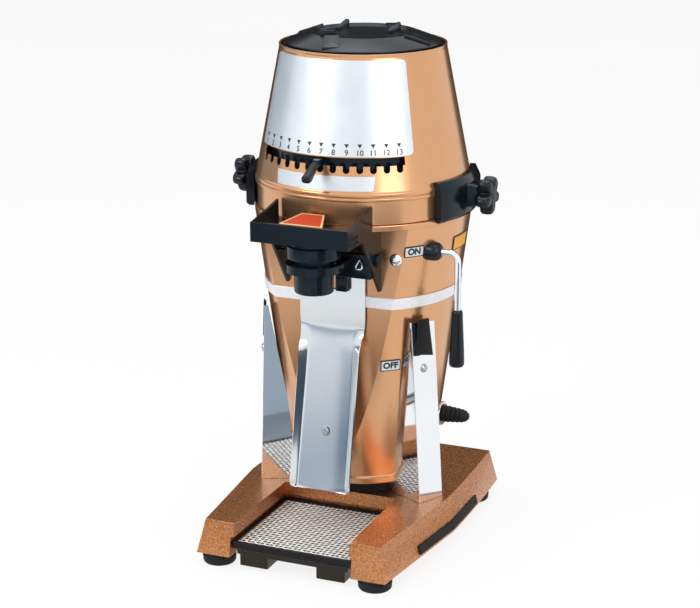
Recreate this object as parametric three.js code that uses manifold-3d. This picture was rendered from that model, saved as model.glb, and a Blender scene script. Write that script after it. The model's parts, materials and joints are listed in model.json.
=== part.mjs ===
// Electric coffee grinder for a shop counter: a cast base with a chaff drawer, a tapered motor
// housing with a flat front, a grinding mill, a bean hopper with a notched grind dial, a bag
// clamp with a chute, and a start lever. Millimetres, +Z up, the front of the grinder towards -Y.
import * as THREE from 'three';
import { mergeVertices } from 'three/addons/utils/BufferGeometryUtils.js';
import Module from 'manifold-3d';

const wasm = await Module();
wasm.setup();

// Driving dimensions

const clearance = 0.3; // gap between pieces that touch
const runGap = 0.8; // gap round pieces that turn or slide
const overrun = 6; // how far a cutter reaches past a surface
const degree = Math.PI / 180;

const sides = { large: 44, ring: 32, part: 24, small: 16, pin: 10 }; // facets round a circle

const foot = {
  radius: 22,
  height: 16,
  edge: 3,
  pocketRadius: 7,
  pocketDepth: 6,
  insetFront: 22,
  insetRear: 40,
};

const base = {
  length: 390, // front to rear along the underside
  axisFromRear: 145, // grinder axis to the rear edge of the underside
  height: 45,
  bayWidth: 160, // clear width between the front rails at their top
  frontWidth: 242, // over both rails at the front
  wideWidth: 284, // widest place of the top
  widePlace: 55, // widest place, in front of the grinder axis
  rearWidth: 269,
  wallPlace: 80, // face of the cross wall, in front of the grinder axis
  endDraft: 8, // slope of the front and rear faces
  sideDraft: 10, // slope of the outer sides
  grooveDepth: 4.3, // undercut in the rails that holds the tray frame
  grooveTop: 18, // height of rail left above the undercut
  grooveRear: 9, // how far the undercut reaches behind the cross wall
  ledgeHeight: 6.5,
  ledgeSetback: 12,
};
const sideGrip = { front: 150, rear: 43, lift: 3.7, height: 12, thick: 1.8 };
base.bottom = foot.height + clearance;
base.top = base.bottom + base.height;
base.rear = base.axisFromRear;
base.front = base.rear - base.length;
base.wall = -base.wallPlace;
base.grooveZ = base.top - base.grooveTop;
base.grooveHalf = base.bayWidth / 2 + base.grooveDepth;

const tray = {
  frameThick: 9,
  frameBorder: 8,
  rearBorder: 12.5,
  frameDrop: 7.3, // top of the frame below the top of the undercut
  wall: 2.5,
  floorDrop: 7, // floor of the drawer below the frame
  podInner: 34, // deep channels of the drawer, from the centre line
  podOuter: 73,
  podDrop: 22,
  side: 77, // half width of the drawer
  travel: 150,
  lipDepth: 3,
};
tray.frameTop = base.grooveZ - tray.frameDrop;
tray.frameBottom = tray.frameTop - tray.frameThick;
tray.front = base.front + base.endDraft;
tray.rear = base.wall + base.grooveRear - runGap;
tray.frameHalf = base.grooveHalf - runGap;
tray.openHalf = tray.frameHalf - tray.frameBorder;

const mesh = { wire: 2, pitchCount: 9, seat: 3 };

const pedestal = { radius: 84, height: 16.5, bore: 60 };

const body = {
  bottomRadius: 94.1,
  topRadius: 142.3,
  height: 362.5, // whole housing
  rimHeight: 7, // straight band at the top, above the ledge
  flat: 99, // front flat, in front of the axis
  wall: 4,
  floor: 6,
  ringHeight: 11,
  ringProud: 1.6,
  neckRadius: 124,
  neckHeight: 7,
  seatRadius: 136.3,
  seatLift: 3, // seat of the mill bowl, above the ledge
  hubRadius: 23,
  hubHeight: 14,
  airHole: 7,
  airHoleCount: 4,
  airRing: 46,
};
body.bottom = base.top + clearance + pedestal.height + clearance;
body.top = body.bottom + body.height;
body.ledge = body.top - body.rimHeight;
body.reach = body.height - body.rimHeight; // from the underside up to the ledge
body.slope = (body.topRadius - body.bottomRadius) / (body.ledge - body.bottom);
const bodyRadius = (z) => body.bottomRadius + body.slope * (z - body.bottom);

const band = { drop: 107.5, height: 15, thick: 1.5 }; // bottom edge below the ledge of the housing
band.bottom = body.reach - band.drop;

const leg = {
  thick: 2.5,
  turn: 24, // web turned this far from straight back, degrees
  footX: 115,
  footY: 83,
  topX: 96,
  topY: 84,
  drop: 124.3, // top below the ledge of the housing
  webWidth: 48,
  flangeWidth: 60,
  flangeTop: 5,
  bodyGap: 1,
};
leg.height = body.ledge - leg.drop - base.top - clearance;

const legInsert = { topWidth: 23, width: 31, height: 43, place: 10, proud: 1.2, cap: 5 };
const legScrew = {
  drop: 25, // below the insert
  place: 26,
  headRadius: 6,
  headThick: 2.5,
  shank: 2.5,
  bossRadius: 7,
  depth: 9,
};
legScrew.height = leg.height - legInsert.height - legScrew.drop;

const motor = {
  statorOuter: 85,
  statorInner: 43,
  statorBottom: 125, // above the underside of the housing
  statorHeight: 100,
  slots: 12,
  slotWidth: 8,
  slotDepth: 22,
  seatThick: 8,
  seatInner: 78,
  coreRadius: 41.5,
  shaftRadius: 8,
  shaftFoot: 12, // shaft end above the inside of the floor
  bearingRadius: 17,
  bearingHeight: 12,
  bearingRace: 4,
  upperBearingRadius: 14,
  fanRadius: 78,
  fanHub: 16,
  fanHeight: 18,
  fanDrop: 71, // below the bowl of the mill
  fanDisc: 3,
  fanBlades: 7,
  bladeThick: 2.4,
  capacitorRadius: 17,
  capacitorHeight: 78,
  capacitorPlace: 62,
};

const bowl = { radius: 94.4, wall: 3.6, drop: 38.5, floor: 5, flange: 3.4, hub: 20 };
bowl.bottom = body.ledge - bowl.drop;
motor.fanPlace = body.reach - bowl.drop - motor.fanDrop;

const outlet = { width: 40, bottom: 8, height: 20 }; // bottom above the floor of the bowl
outlet.z0 = bowl.bottom + outlet.bottom;
outlet.z1 = outlet.z0 + outlet.height;

const burr = {
  radius: 62,
  hole: 27,
  lowerHole: 12,
  thick: 10,
  gap: 1.6,
  groove: 3,
  grooveWidth: 6,
  grooves: 10,
  skew: 18,
  carrierRadius: 72,
  carrierThick: 9,
  carrierLift: 9, // above the floor of the bowl
  paddle: 5,
  paddles: 6,
  nutRadius: 11,
  nutHeight: 5,
};

const mill = { radius: 139.2, height: 30, wall: 11, web: 9, webLift: 4, bore: 66.5 };
mill.bottom = body.top + clearance;
mill.top = mill.bottom + mill.height;

const hopper = {
  flangeRadius: 141.6,
  flangeHeight: 12,
  flangeGroove: 1.4,
  flangeInner: 126,
  footRadius: 139.5, // cone where it leaves the flange
  rimRadius: 107.3,
  coneHeight: 167,
  wall: 3,
  lip: 2.4,
  lipHeight: 4,
};
hopper.bottom = mill.top + clearance;
hopper.coneZ = hopper.bottom + hopper.flangeHeight;
hopper.rim = hopper.coneZ + hopper.coneHeight;
hopper.slope = (hopper.footRadius - hopper.rimRadius) / hopper.coneHeight;
const coneRadius = (z) => hopper.footRadius - hopper.slope * (z - hopper.coneZ);

const dial = {
  steps: 13,
  pitch: 7.27, // degrees from number to number
  middle: -1, // direction of the middle number, degrees from the front
  slotTop: 42, // above the foot of the cone
  slotHeight: 10.5,
  notchDrop: 9,
  notchWidth: 8.6,
  slotEnd: 3.2, // degrees past the last number
};
dial.span = (dial.pitch * (dial.steps - 1)) / 2;
dial.z1 = hopper.coneZ + dial.slotTop;
dial.z0 = dial.z1 - dial.slotHeight;

const plate = { thick: 0.8, seat: 0.4 };
const dialPlate = { halfAngle: 51, bottom: 43.5, top: 160, corner: 5 };
const noticePlate = { halfAngle: 29, bottom: 1.5, height: 18, corner: 1 };
const onPlate = { from: 44.5, to: 56, drop: 37.5, height: 14, corner: 0.8 };
const offPlate = { from: 33.5, to: 46.5, drop: 192.5, height: 15, corner: 0.8 };
const sidePlate = { from: 79, to: 96, drop: 42, height: 19, corner: 0.8 };

const adjuster = {
  bore: 30,
  webThick: 6,
  skirtRadius: 123.5,
  skirtWall: 3,
  collarInner: 36,
  collarWall: 3.5,
  collarHeight: 40, // above the web
  burrSeat: 12,
  neckWall: 8,
  skirtBottom: 15, // above the foot of the cone
  skirtTop: 49,
};
const stem = {
  width: 8,
  height: 7,
  handle: 31, // length of the handle
  handleWidth: 11,
  handleHeight: 9,
  reach: 178,
  drop: 15,
  tip: 6,
};
stem.out = stem.reach - stem.handle;

const funnel = { wall: 2.5, lipWidth: 6, rimDrop: 4, throat: 34, throatDrop: 92, tube: 18 };

const lid = {
  discRadius: 69,
  rise: 15,
  edgeRadius: 101,
  edgeThick: 3,
  wall: 3,
  recess: 2.5,
  recessRadius: 61,
  ribWidth: 18,
  ribRise: 6,
  ribEnd: 4, // top of the outer end above the disc
  ribTurn: -4,
  lugPlace: 17.5, // middle of the lugs behind the axis
  lugSide: 36,
  lugLength: 32,
  lugWidth: 8,
  lugLow: 4,
  lugHigh: 9,
  travel: 120,
};

const saddle = {
  gap: 0.5,
  radius: 151.5,
  drop: 3.6, // below the top of the housing
  rise: 6, // above the hopper flange
  bevel: 14,
  bevelIn: 6,
  lip: 1.6,
  frontAngle: 28, // degrees towards the front
  rearAngle: 25,
  bossOut: 12,
  bossHalf: 17,
  bossTip: 12,
  bossHeight: 30,
};

const star = {
  radius: 22,
  lobe: 4.5,
  lobes: 5,
  thick: 12,
  hubRadius: 12,
  hubLength: 6,
  dish: 4,
  dishRadius: 11,
};

const shelf = {
  width: 131.2,
  front: 206,
  top: 19, // above the ledge of the housing
  height: 25.2,
  wall: 3.5,
  frontWall: 4,
  recess: 11,
  finRise: 12.5,
  finRear: 126,
  ringGap: 1.4,
  gussetFront: 158,
  gussetDrop: 78,
  slotHeight: 2.5,
  slotLength: 20,
};
shelf.z1 = body.ledge + shelf.top;
shelf.z0 = shelf.z1 - shelf.height;

const badge = { width: 60, depth: 32, left: 10, back: 44, corner: 5, low: 5, high: 13 };

const spout = {
  place: 160, // in front of the grinder axis
  radius: 25,
  bore: 21.5,
  length: 69,
  collarRadius: 35,
  collarDrop: 23,
  ductHalf: 24,
  ductDrop: 27,
};
spout.bottom = shelf.z0 - spout.length;

const yoke = {
  pivotY: 112,
  pivotDrop: 34, // below the shelf
  ringInner: 28,
  ringOuter: 36,
  ringHeight: 10.5,
  ringDrop: 31,
  armInner: 29.5,
  armWidth: 6.5,
  armHeight: 9,
  hubRadius: 6.5,
  pinRadius: 3,
  pinHead: 6,
  pinHeadThick: 4,
  swing: 6,
  springTurns: 4,
  springRadius: 5,
  springWire: 1.8,
  springStart: 41,
  springLength: 14,
};
yoke.pivotZ = shelf.z0 - yoke.pivotDrop;

const chute = {
  thick: 1.5,
  seat: 2.6, // behind face in front of the flat of the housing, clear of the band
  topDrop: 87.5, // below the ledge of the housing
  bendDrop: 134.5,
  bottom: 6,
  lean: 43, // bottom edge in front of the flat
  webTop: 31,
  webBottom: 36,
  half: 42.5,
  depth: 10,
  notch: 3,
  notchDrop: 8,
  topHalf: 45.5, // flat sheet above the notch
  tabInner: 24,
  tabHeight: 21,
  corner: 7,
};
chute.top = body.reach - chute.topDrop;
chute.bend = body.reach - chute.bendDrop;

const standoff = { height: 83, radius: 7, screwRadius: 5.8, screwThick: 2.2, shank: 2.4, depth: 12 };

const lever = {
  y: 66,
  drop: 33.5, // below the ledge of the housing
  rodRadius: 4.4,
  out: 157,
  bend: 12,
  inner: 78,
  rodLength: 74,
  gripLength: 75,
  gripTop: 7.2,
  gripBottom: 10,
  gripRound: 4,
  bushRadius: 13,
  bushNeck: 9.5,
  bushOut: 136,
  bushRound: 5,
  swing: 90,
  camRadius: 10,
  camThick: 8,
  camLobe: 3,
};
lever.pivotZ = body.ledge - lever.drop;

const startSwitch = { length: 22, width: 26, height: 20, gap: 1, shelfThick: 7, shelfWidth: 18 };

const gland = {
  z: 81, // above the underside of the housing
  radius: 11.2,
  tip: 8.6,
  length: 37,
  ribs: 4,
  ribDepth: 1.2,
  collarRadius: 16,
  collarThick: 3,
  pad: 112,
};

// Helpers

// Turns a closed geometry into a solid for joining and cutting.
function solid(geometry) {
  const bare = new THREE.BufferGeometry();
  bare.setAttribute('position', geometry.attributes.position.clone());
  if (geometry.index) bare.setIndex(geometry.index.clone());
  const welded = mergeVertices(bare);
  const places = Float32Array.from(welded.attributes.position.array);
  const corners = Array.from(welded.index.array);
  const faces = [];
  let volume = 0;
  const at = (i) => new THREE.Vector3(places[3 * i], places[3 * i + 1], places[3 * i + 2]);
  for (let i = 0; i < corners.length; i += 3) {
    const [a, b, c] = corners.slice(i, i + 3);
    if (a === b || b === c || c === a) continue;
    faces.push(a, b, c);
    volume += at(a).dot(at(b).cross(at(c)));
  }
  const turned = volume < 0;
  for (let i = 0; turned && i < faces.length; i += 3) [faces[i], faces[i + 1]] = [faces[i + 1], faces[i]];
  return new wasm.Manifold(
    new wasm.Mesh({ numProp: 3, vertProperties: places, triVerts: Uint32Array.from(faces) }),
  );
}

function geometryOf(shape) {
  const made = shape.getMesh();
  const geometry = new THREE.BufferGeometry();
  geometry.setAttribute('position', new THREE.BufferAttribute(Float32Array.from(made.vertProperties), 3));
  geometry.setIndex(Array.from(made.triVerts));
  geometry.computeVertexNormals();
  return geometry;
}

const join = (...shapes) => shapes.reduce((whole, shape) => whole.add(shape));
const cut = (shape, ...tools) => tools.reduce((left, tool) => left.subtract(tool), shape);

function moved(shape, x, y, z) {
  return shape.translate([x, y, z]);
}

// Direction in plan: zero is the front, positive turns towards +X.
const heading = (angle) => new THREE.Vector2(Math.sin(angle * degree), -Math.cos(angle * degree));

function slab(x0, x1, y0, y1, z0, z1) {
  const geometry = new THREE.BoxGeometry(x1 - x0, y1 - y0, z1 - z0);
  geometry.translate((x0 + x1) / 2, (y0 + y1) / 2, (z0 + z1) / 2);
  return solid(geometry);
}

// Turns a profile of [radius, height] round the vertical axis. A ring's profile closes on itself.
function revolve(profile, segments = sides.large) {
  const closed = profile[0][0] > 0 || profile[profile.length - 1][0] > 0;
  const points = profile.map(([r, z]) => new THREE.Vector2(r, z));
  if (closed) points.push(points[0].clone());
  return solid(new THREE.LatheGeometry(points, segments).rotateX(Math.PI / 2));
}

function tube(outer, inner, z0, z1, segments = sides.ring) {
  return revolve([[inner, z0], [outer, z0], [outer, z1], [inner, z1]], segments);
}

function disc(radius, z0, z1, segments = sides.ring) {
  return revolve([[0, z0], [radius, z0], [radius, z1], [0, z1]], segments);
}

// A round bar between two points.
function bar(from, to, radius, segments = sides.small, endRadius = radius) {
  const line = new THREE.Vector3().subVectors(to, from);
  const geometry = new THREE.CylinderGeometry(endRadius, radius, line.length(), segments);
  const way = line.clone().normalize();
  geometry.applyQuaternion(new THREE.Quaternion().setFromUnitVectors(new THREE.Vector3(0, 1, 0), way));
  const middle = new THREE.Vector3().addVectors(from, to).multiplyScalar(0.5);
  geometry.translate(middle.x, middle.y, middle.z);
  return solid(geometry);
}

const point = (x, y, z) => new THREE.Vector3(x, y, z);
const barX = (x0, x1, y, z, radius, segments) => bar(point(x0, y, z), point(x1, y, z), radius, segments);

function outline(points) {
  return new THREE.Shape(points.map(([x, y]) => new THREE.Vector2(x, y)));
}

function roundOutline(radius, count) {
  const points = [];
  for (let i = 0; i < count; i++) {
    const angle = (i / count) * 360 * degree;
    points.push([radius * Math.cos(angle), radius * Math.sin(angle)]);
  }
  return outline(points);
}

function prism(shape, z0, z1, curveSegments = 8) {
  const geometry = new THREE.ExtrudeGeometry(shape,
    { depth: z1 - z0, bevelEnabled: false, curveSegments });
  geometry.translate(0, 0, z0);
  return solid(geometry);
}

// Extrudes a side view, drawn as [y, z], across from x0 to x1.
function sidePrism(points, x0, x1) {
  const geometry = new THREE.ExtrudeGeometry(outline(points), { depth: x1 - x0, bevelEnabled: false });
  const turn = new THREE.Matrix4().makeBasis(point(0, 1, 0), point(0, 0, 1), point(1, 0, 0));
  geometry.applyMatrix4(turn);
  geometry.translate(x0, 0, 0);
  return solid(geometry);
}

// Skins a row of equal loops of points and closes both ends.
function loft(loops) {
  const count = loops[0].length;
  const places = loops.flat().flatMap((p) => [p.x, p.y, p.z]);
  const faces = [];
  for (let i = 0; i < loops.length - 1; i++) {
    for (let j = 0; j < count; j++) {
      const [a, b] = [i * count + j, i * count + ((j + 1) % count)];
      faces.push(a, b, b + count, a, b + count, a + count);
    }
  }
  const cap = (loop, start, flip) => {
    const normal = point(0, 0, 0);
    loop.forEach((p, k) => normal.add(p.clone().cross(loop[(k + 1) % count])));
    const turn = new THREE.Quaternion().setFromUnitVectors(normal.normalize(), point(0, 0, 1));
    const flatLoop = loop.map((p) => p.clone().applyQuaternion(turn)).map((p) => new THREE.Vector2(p.x,
      p.y));
    for (const [a, b, c] of THREE.ShapeUtils.triangulateShape(flatLoop, [])) {
      faces.push(...(flip ? [start + a, start + c, start + b] : [start + a, start + b, start + c]));
    }
  };
  cap(loops[0], 0, true);
  cap(loops[loops.length - 1], (loops.length - 1) * count, false);
  const geometry = new THREE.BufferGeometry();
  geometry.setAttribute('position', new THREE.Float32BufferAttribute(places, 3));
  geometry.setIndex(faces);
  return solid(geometry);
}

// A thin plate that lies on a cone: headings a0 to a1, heights z0 to z1, rounded corners.
function conePlate(radiusAt, a0, a1, z0, z1, corner, columns) {
  const width = (a1 - a0) * degree * radiusAt(z0);
  const loops = [];
  const stops = [];
  const cornerShares = [0, 0.15, 0.5, 1];
  for (const share of cornerShares) stops.push(share * corner);
  for (let i = 1; i < columns; i++) stops.push(corner + ((width - 2 * corner) * i) / columns);
  for (const share of [...cornerShares].reverse()) stops.push(width - share * corner);
  for (const stop of stops) {
    const edge = Math.min(stop, width - stop, corner);
    const rise = corner - Math.sqrt(Math.max(0, corner * corner - (corner - edge) * (corner - edge)));
    const way = heading(a0 + ((a1 - a0) * stop) / width);
    const lower = z0 + rise * 0.98;
    const upper = z1 - rise * 0.98;
    const at = (z, lift) => {
      const r = radiusAt(z) + lift;
      return point(way.x * r, way.y * r, z);
    };
    const [inner, outer] = [plate.seat, plate.seat + plate.thick];
    loops.push([at(lower, inner), at(lower, outer), at(upper, outer), at(upper, inner)]);
  }
  return loft(loops);
}

// A wedge of a tall cylinder between two headings, for cutting sectors.
function sector(a0, a1, radius, z0, z1) {
  const count = Math.max(2, Math.ceil(Math.abs(a1 - a0) / 6));
  const points = [[0, 0]];
  for (let i = 0; i <= count; i++) {
    const way = heading(a0 + ((a1 - a0) * i) / count);
    points.push([way.x * radius, way.y * radius]);
  }
  return prism(outline(points), z0, z1);
}

// Turns a shape about the vertical grinder axis.
const spun = (shape, angle) => shape.rotate([0, 0, angle]);
const mirrored = (shape) => shape.mirror([1, 0, 0]);

const paint = (color, roughness, metalness) =>
  new THREE.MeshStandardMaterial({ color, roughness, metalness, flatShading: true });
const finish = {
  copper: paint('#d9a578', 0.3, 0.55),
  hammered: paint('#b9805a', 0.35, 0.6),
  chrome: paint('#c9d2dc', 0.08, 1),
  brushed: paint('#e6e7ea', 0.35, 0.8),
  steel: paint('#a7abb0', 0.35, 0.9),
  black: paint('#1d2126', 0.35, 0),
  matte: paint('#16181b', 0.6, 0),
  smoke: paint('#3a332c', 0.2, 0),
  rubber: paint('#1a1c1f', 0.8, 0),
  winding: paint('#8a4a26', 0.5, 0.4),
  silver: paint('#dfe6ee', 0.3, 0.5),
  yellow: paint('#f0b432', 0.4, 0),
  orange: paint('#d9542b', 0.4, 0.2),
};

const object = new THREE.Group();
const machine = new THREE.Group();
machine.position.y = base.length / 2 - base.rear;
object.add(machine);

function piece(name, shape, material) {
  const item = new THREE.Mesh(geometryOf(shape), material);
  item.name = name;
  machine.add(item);
}

// Base

const sideAt = (share) => base.wideWidth / 2 - ((base.wideWidth - base.rearWidth) / 2) * share * share;

// One level of the base; the outer sides stand out by a margin.
function baseLoop(z, flare, margin = 0) {
  const front = base.front + base.endDraft * (1 - flare);
  const rear = base.rear - base.endDraft * (1 - flare);
  const spread = base.sideDraft * flare + margin;
  const half = [
    [base.bayWidth / 2, base.wall], [base.bayWidth / 2, front], [base.frontWidth / 2 + spread, front],
  ];
  const steps = 6;
  for (let i = 0; i <= steps; i++) {
    const y = -base.widePlace + ((rear + base.widePlace) * i) / steps;
    half.push([sideAt(i / steps) + spread, y]);
  }
  const mirror = half.map(([x, y]) => [-x, y]).reverse();
  return [...half, ...mirror].map(([x, y]) => point(x, y, z));
}

function baseBlock(margin) {
  return loft([baseLoop(base.bottom, 1, margin), baseLoop(base.top, 0, margin)]);
}

// Rubber strip on the outer side of the right rail.
function sideStrip() {
  const low = base.bottom + sideGrip.lift;
  const zone = slab(0, base.wideWidth, -sideGrip.front, sideGrip.rear, low, low + sideGrip.height);
  return cut(baseBlock(clearance + sideGrip.thick), baseBlock(clearance)).intersect(zone);
}

function baseFrame() {
  const block = baseBlock(0);
  const groove = slab(
    -base.grooveHalf, base.grooveHalf, base.front - overrun, base.wall + base.grooveRear,
    base.bottom - overrun, base.grooveZ,
  );
  const ledgeTop = tray.frameBottom - clearance;
  const ledge = slab(
    tray.side + runGap * 2, base.grooveHalf + overrun, base.front + base.endDraft + base.ledgeSetback,
    base.wall + base.grooveRear - runGap, ledgeTop - base.ledgeHeight, ledgeTop,
  );
  return join(cut(block, groove), ledge, mirrored(ledge));
}

function rubberFoot() {
  const { radius, height, edge, pocketRadius, pocketDepth } = foot;
  const round = [];
  for (let i = 0; i <= 2; i++) {
    const turn = (i / 2) * 90 * degree;
    round.push([radius - edge + edge * Math.sin(turn), edge - edge * Math.cos(turn)]);
  }
  const profile = [
    [0, pocketDepth], [pocketRadius, pocketDepth], [pocketRadius, 0], ...round, [radius, height],
    [0, height],
  ];
  return revolve(profile, sides.small);
}

piece('base_frame', baseFrame(), finish.hammered);
piece('side_grip_right', sideStrip(), finish.rubber);
piece('side_grip_left', mirrored(sideStrip()), finish.rubber);
const footPlaces = {
  front: [base.frontWidth / 2 + base.sideDraft - foot.radius, base.front + foot.insetFront],
  rear: [base.rearWidth / 2 + base.sideDraft - foot.radius, base.rear - foot.insetRear],
};
for (const [row, [x, y]] of Object.entries(footPlaces)) {
  piece(`foot_${row}_right`, moved(rubberFoot(), x, y, 0), finish.rubber);
  piece(`foot_${row}_left`, moved(rubberFoot(), -x, y, 0), finish.rubber);
}

// Chaff drawer, its black frame and the woven grid

function trayFrame() {
  const block = slab(-tray.frameHalf, tray.frameHalf, tray.front, tray.rear, tray.frameBottom,
    tray.frameTop);
  const window = slab(
    -tray.openHalf, tray.openHalf, tray.front + tray.frameBorder, tray.rear - tray.rearBorder,
    tray.frameBottom - overrun, tray.frameTop + overrun,
  );
  const lip = slab(
    -tray.openHalf - mesh.seat, tray.openHalf + mesh.seat, tray.front + tray.frameBorder - mesh.seat,
    tray.rear - tray.rearBorder + mesh.seat,
    tray.frameTop - mesh.wire - clearance * 2, tray.frameTop + overrun,
  );
  return cut(block, window, lip);
}

function chaffTray() {
  const top = tray.frameBottom - clearance;
  const floor = top - tray.floorDrop;
  const low = top - tray.podDrop;
  const [front, rear] = [tray.front + clearance, tray.rear];
  const upper = slab(-tray.side, tray.side, front, rear, floor, top);
  const upperHollow = slab(
    -tray.side + tray.wall, tray.side - tray.wall, front + tray.wall, rear - tray.wall,
      floor + tray.wall, top + overrun,
  );
  const pod = slab(tray.podInner, tray.podOuter, front, rear, low, floor + tray.wall);
  const podHollow = slab(
    tray.podInner + tray.wall, tray.podOuter - tray.wall, front + tray.wall, rear - tray.wall,
    low + tray.wall, top + overrun,
  );
  const shell = join(upper, pod, mirrored(pod));
  return cut(shell, upperHollow, podHollow, mirrored(podHollow));
}

// Lines across a grid of gaps: both edges of every wire, from low to high.
function wireLines(low, high) {
  const pitch = (high - low - mesh.wire) / mesh.pitchCount;
  const lines = [];
  for (let i = 0; i <= mesh.pitchCount; i++) lines.push(low + pitch * i, low + pitch * i + mesh.wire);
  return lines;
}

// A grid of wires with square gaps, closed by an edge wire all round.
function trayMesh() {
  const halfX = tray.openHalf + mesh.seat - clearance;
  const y0 = tray.front + tray.frameBorder - mesh.seat + clearance;
  const y1 = tray.rear - tray.rearBorder + mesh.seat - clearance;
  const z0 = tray.frameTop - mesh.wire - clearance;
  const [xs, ys] = [wireLines(-halfX, halfX), wireLines(y0, y1)];
  const [nx, ny] = [xs.length, ys.length];
  const places = [];
  for (const z of [z0, z0 + mesh.wire]) for (const y of ys) for (const x of xs) places.push(x, y, z);
  const id = (i, j, level) => level * nx * ny + j * nx + i;
  const isWire = (i, j) => i >= 0 && j >= 0 && i < nx - 1 && j < ny - 1 && !(i % 2 && j % 2);
  const faces = [];
  const quad = (a, b, c, d) => faces.push(a, b, c, a, c, d);
  const wall = (i0, j0, i1, j1) => quad(id(i0, j0, 0), id(i1, j1, 0), id(i1, j1, 1), id(i0, j0, 1));
  for (let i = 0; i < nx - 1; i++) {
    for (let j = 0; j < ny - 1; j++) {
      if (!isWire(i, j)) continue;
      quad(id(i, j, 1), id(i + 1, j, 1), id(i + 1, j + 1, 1), id(i, j + 1, 1));
      quad(id(i, j, 0), id(i, j + 1, 0), id(i + 1, j + 1, 0), id(i + 1, j, 0));
      if (!isWire(i, j - 1)) wall(i, j, i + 1, j);
      if (!isWire(i + 1, j)) wall(i + 1, j, i + 1, j + 1);
      if (!isWire(i, j + 1)) wall(i + 1, j + 1, i, j + 1);
      if (!isWire(i - 1, j)) wall(i, j + 1, i, j);
    }
  }
  const geometry = new THREE.BufferGeometry();
  geometry.setAttribute('position', new THREE.Float32BufferAttribute(places, 3));
  geometry.setIndex(faces);
  return solid(geometry);
}

piece('tray_frame', trayFrame(), finish.black);
piece('chaff_tray', chaffTray(), finish.smoke);
piece('tray_mesh', trayMesh(), finish.steel);

// Motor housing

// The outside of the housing, grown by a margin.
function bodyOutside(margin) {
  const cone = revolve([
    [0, body.bottom - margin], [body.bottomRadius + margin, body.bottom - margin],
    [bodyRadius(body.ledge) + margin, body.ledge],
    [body.topRadius + margin, body.top + margin], [0, body.top + margin],
  ]);
  const face = -body.flat - margin;
  const far = body.topRadius * 2;
  return cut(cone, slab(-far, far, -far, face, body.bottom - far, body.ledge));
}

function bodyInside() {
  const { wall, bottom, ledge, top, floor, neckRadius, neckHeight, seatRadius } = body;
  const seat = ledge + body.seatLift;
  const cone = revolve([
    [0, bottom + floor], [bodyRadius(bottom + floor) - wall, bottom + floor],
    [bodyRadius(ledge - neckHeight) - wall, ledge - neckHeight], [neckRadius, ledge - neckHeight],
    [neckRadius, seat], [seatRadius, seat], [seatRadius, top + overrun], [0, top + overrun],
  ]);
  const far = body.topRadius * 2;
  return cut(cone, slab(-far, far, -far, -body.flat + wall, bottom, ledge));
}

const legFrame = {
  back: new THREE.Vector3(Math.sin(leg.turn * degree), Math.cos(leg.turn * degree), 0),
  inward: new THREE.Vector3(-Math.cos(leg.turn * degree), Math.sin(leg.turn * degree), 0),
  z0: base.top + clearance,
};
const foldLine = new THREE.Vector3(leg.topX - leg.footX, leg.footY - leg.topY, leg.height);
legFrame.normal = new THREE.Vector3().crossVectors(legFrame.back, foldLine).normalize(); // out of the web
// Folding line of the leg at a share of its height.
function legFold(share) {
  return point(
    leg.footX + (leg.topX - leg.footX) * share,
    -leg.footY + (leg.footY - leg.topY) * share,
    legFrame.z0 + leg.height * share,
  );
}
// A place on the outer face of the leg's web, this far back from the fold.
function onWeb(height, back, out = 0) {
  return legFold(height / leg.height).addScaledVector(legFrame.back,
    back).addScaledVector(legFrame.normal, out);
}

function motorHousing() {
  const shell = cut(bodyOutside(0), bodyInside());
  const { bottom, ringHeight, ringProud, hubRadius, hubHeight, floor } = body;
  const ring = revolve([
    [body.bottomRadius - ringProud, bottom], [body.bottomRadius + ringProud, bottom],
    [body.bottomRadius + ringProud * 2, bottom + ringHeight / 2],
    [bodyRadius(bottom + ringHeight) - ringProud, bottom + ringHeight],
  ]);
  const hub = disc(hubRadius, bottom, bottom + floor + hubHeight, sides.small);
  const seatZ = bottom + motor.statorBottom - clearance;
  const core = bodyOutside(-body.wall / 2);
  const statorSeat = tube(body.topRadius, motor.seatInner, seatZ - motor.seatThick, seatZ,
    sides.part).intersect(core);
  const switchZ = lever.pivotZ - lever.camRadius - lever.camLobe - startSwitch.gap - startSwitch.height;
  const switchShelf = slab(
    lever.inner, body.topRadius, -lever.y - startSwitch.shelfWidth / 2,
      -lever.y + startSwitch.shelfWidth / 2,
    switchZ - clearance - startSwitch.shelfThick, switchZ - clearance,
  ).intersect(core);
  const bossEnd = onWeb(legScrew.height, legScrew.place, -leg.thick - clearance);
  const bossRoot = onWeb(legScrew.height, legScrew.place, -leg.thick - legScrew.bossRadius * 4);
  const boss = cut(bar(bossRoot, bossEnd, legScrew.bossRadius, sides.pin), core);
  const glandZ = bottom + gland.z;
  const pad = cut(barX(bodyRadius(glandZ) / 2, gland.pad, 0, glandZ, gland.collarRadius + ringProud,
    sides.part), core);
  const bored = [
    disc(motor.bearingRadius + clearance, bottom + floor, bottom + floor + hubHeight + overrun,
      sides.small),
    barX(lever.inner, body.topRadius + overrun, -lever.y, lever.pivotZ, lever.rodRadius + runGap,
      sides.small),
    slab(-outlet.width / 2, outlet.width / 2, -body.flat - overrun, -body.flat + body.wall + overrun,
      outlet.z0, outlet.z1),
    legBore(1),
    legBore(-1),
  ];
  for (let i = 0; i < body.airHoleCount; i++) {
    const way = heading((i * 360) / body.airHoleCount);
    const hole = disc(body.airHole, bottom - overrun, bottom + floor + overrun, sides.pin);
    bored.push(moved(hole, way.x * body.airRing, way.y * body.airRing, 0));
  }
  const solidParts = join(shell, ring, hub, statorSeat, switchShelf, boss, mirrored(boss), pad);
  return cut(solidParts, ...bored);
}

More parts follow.
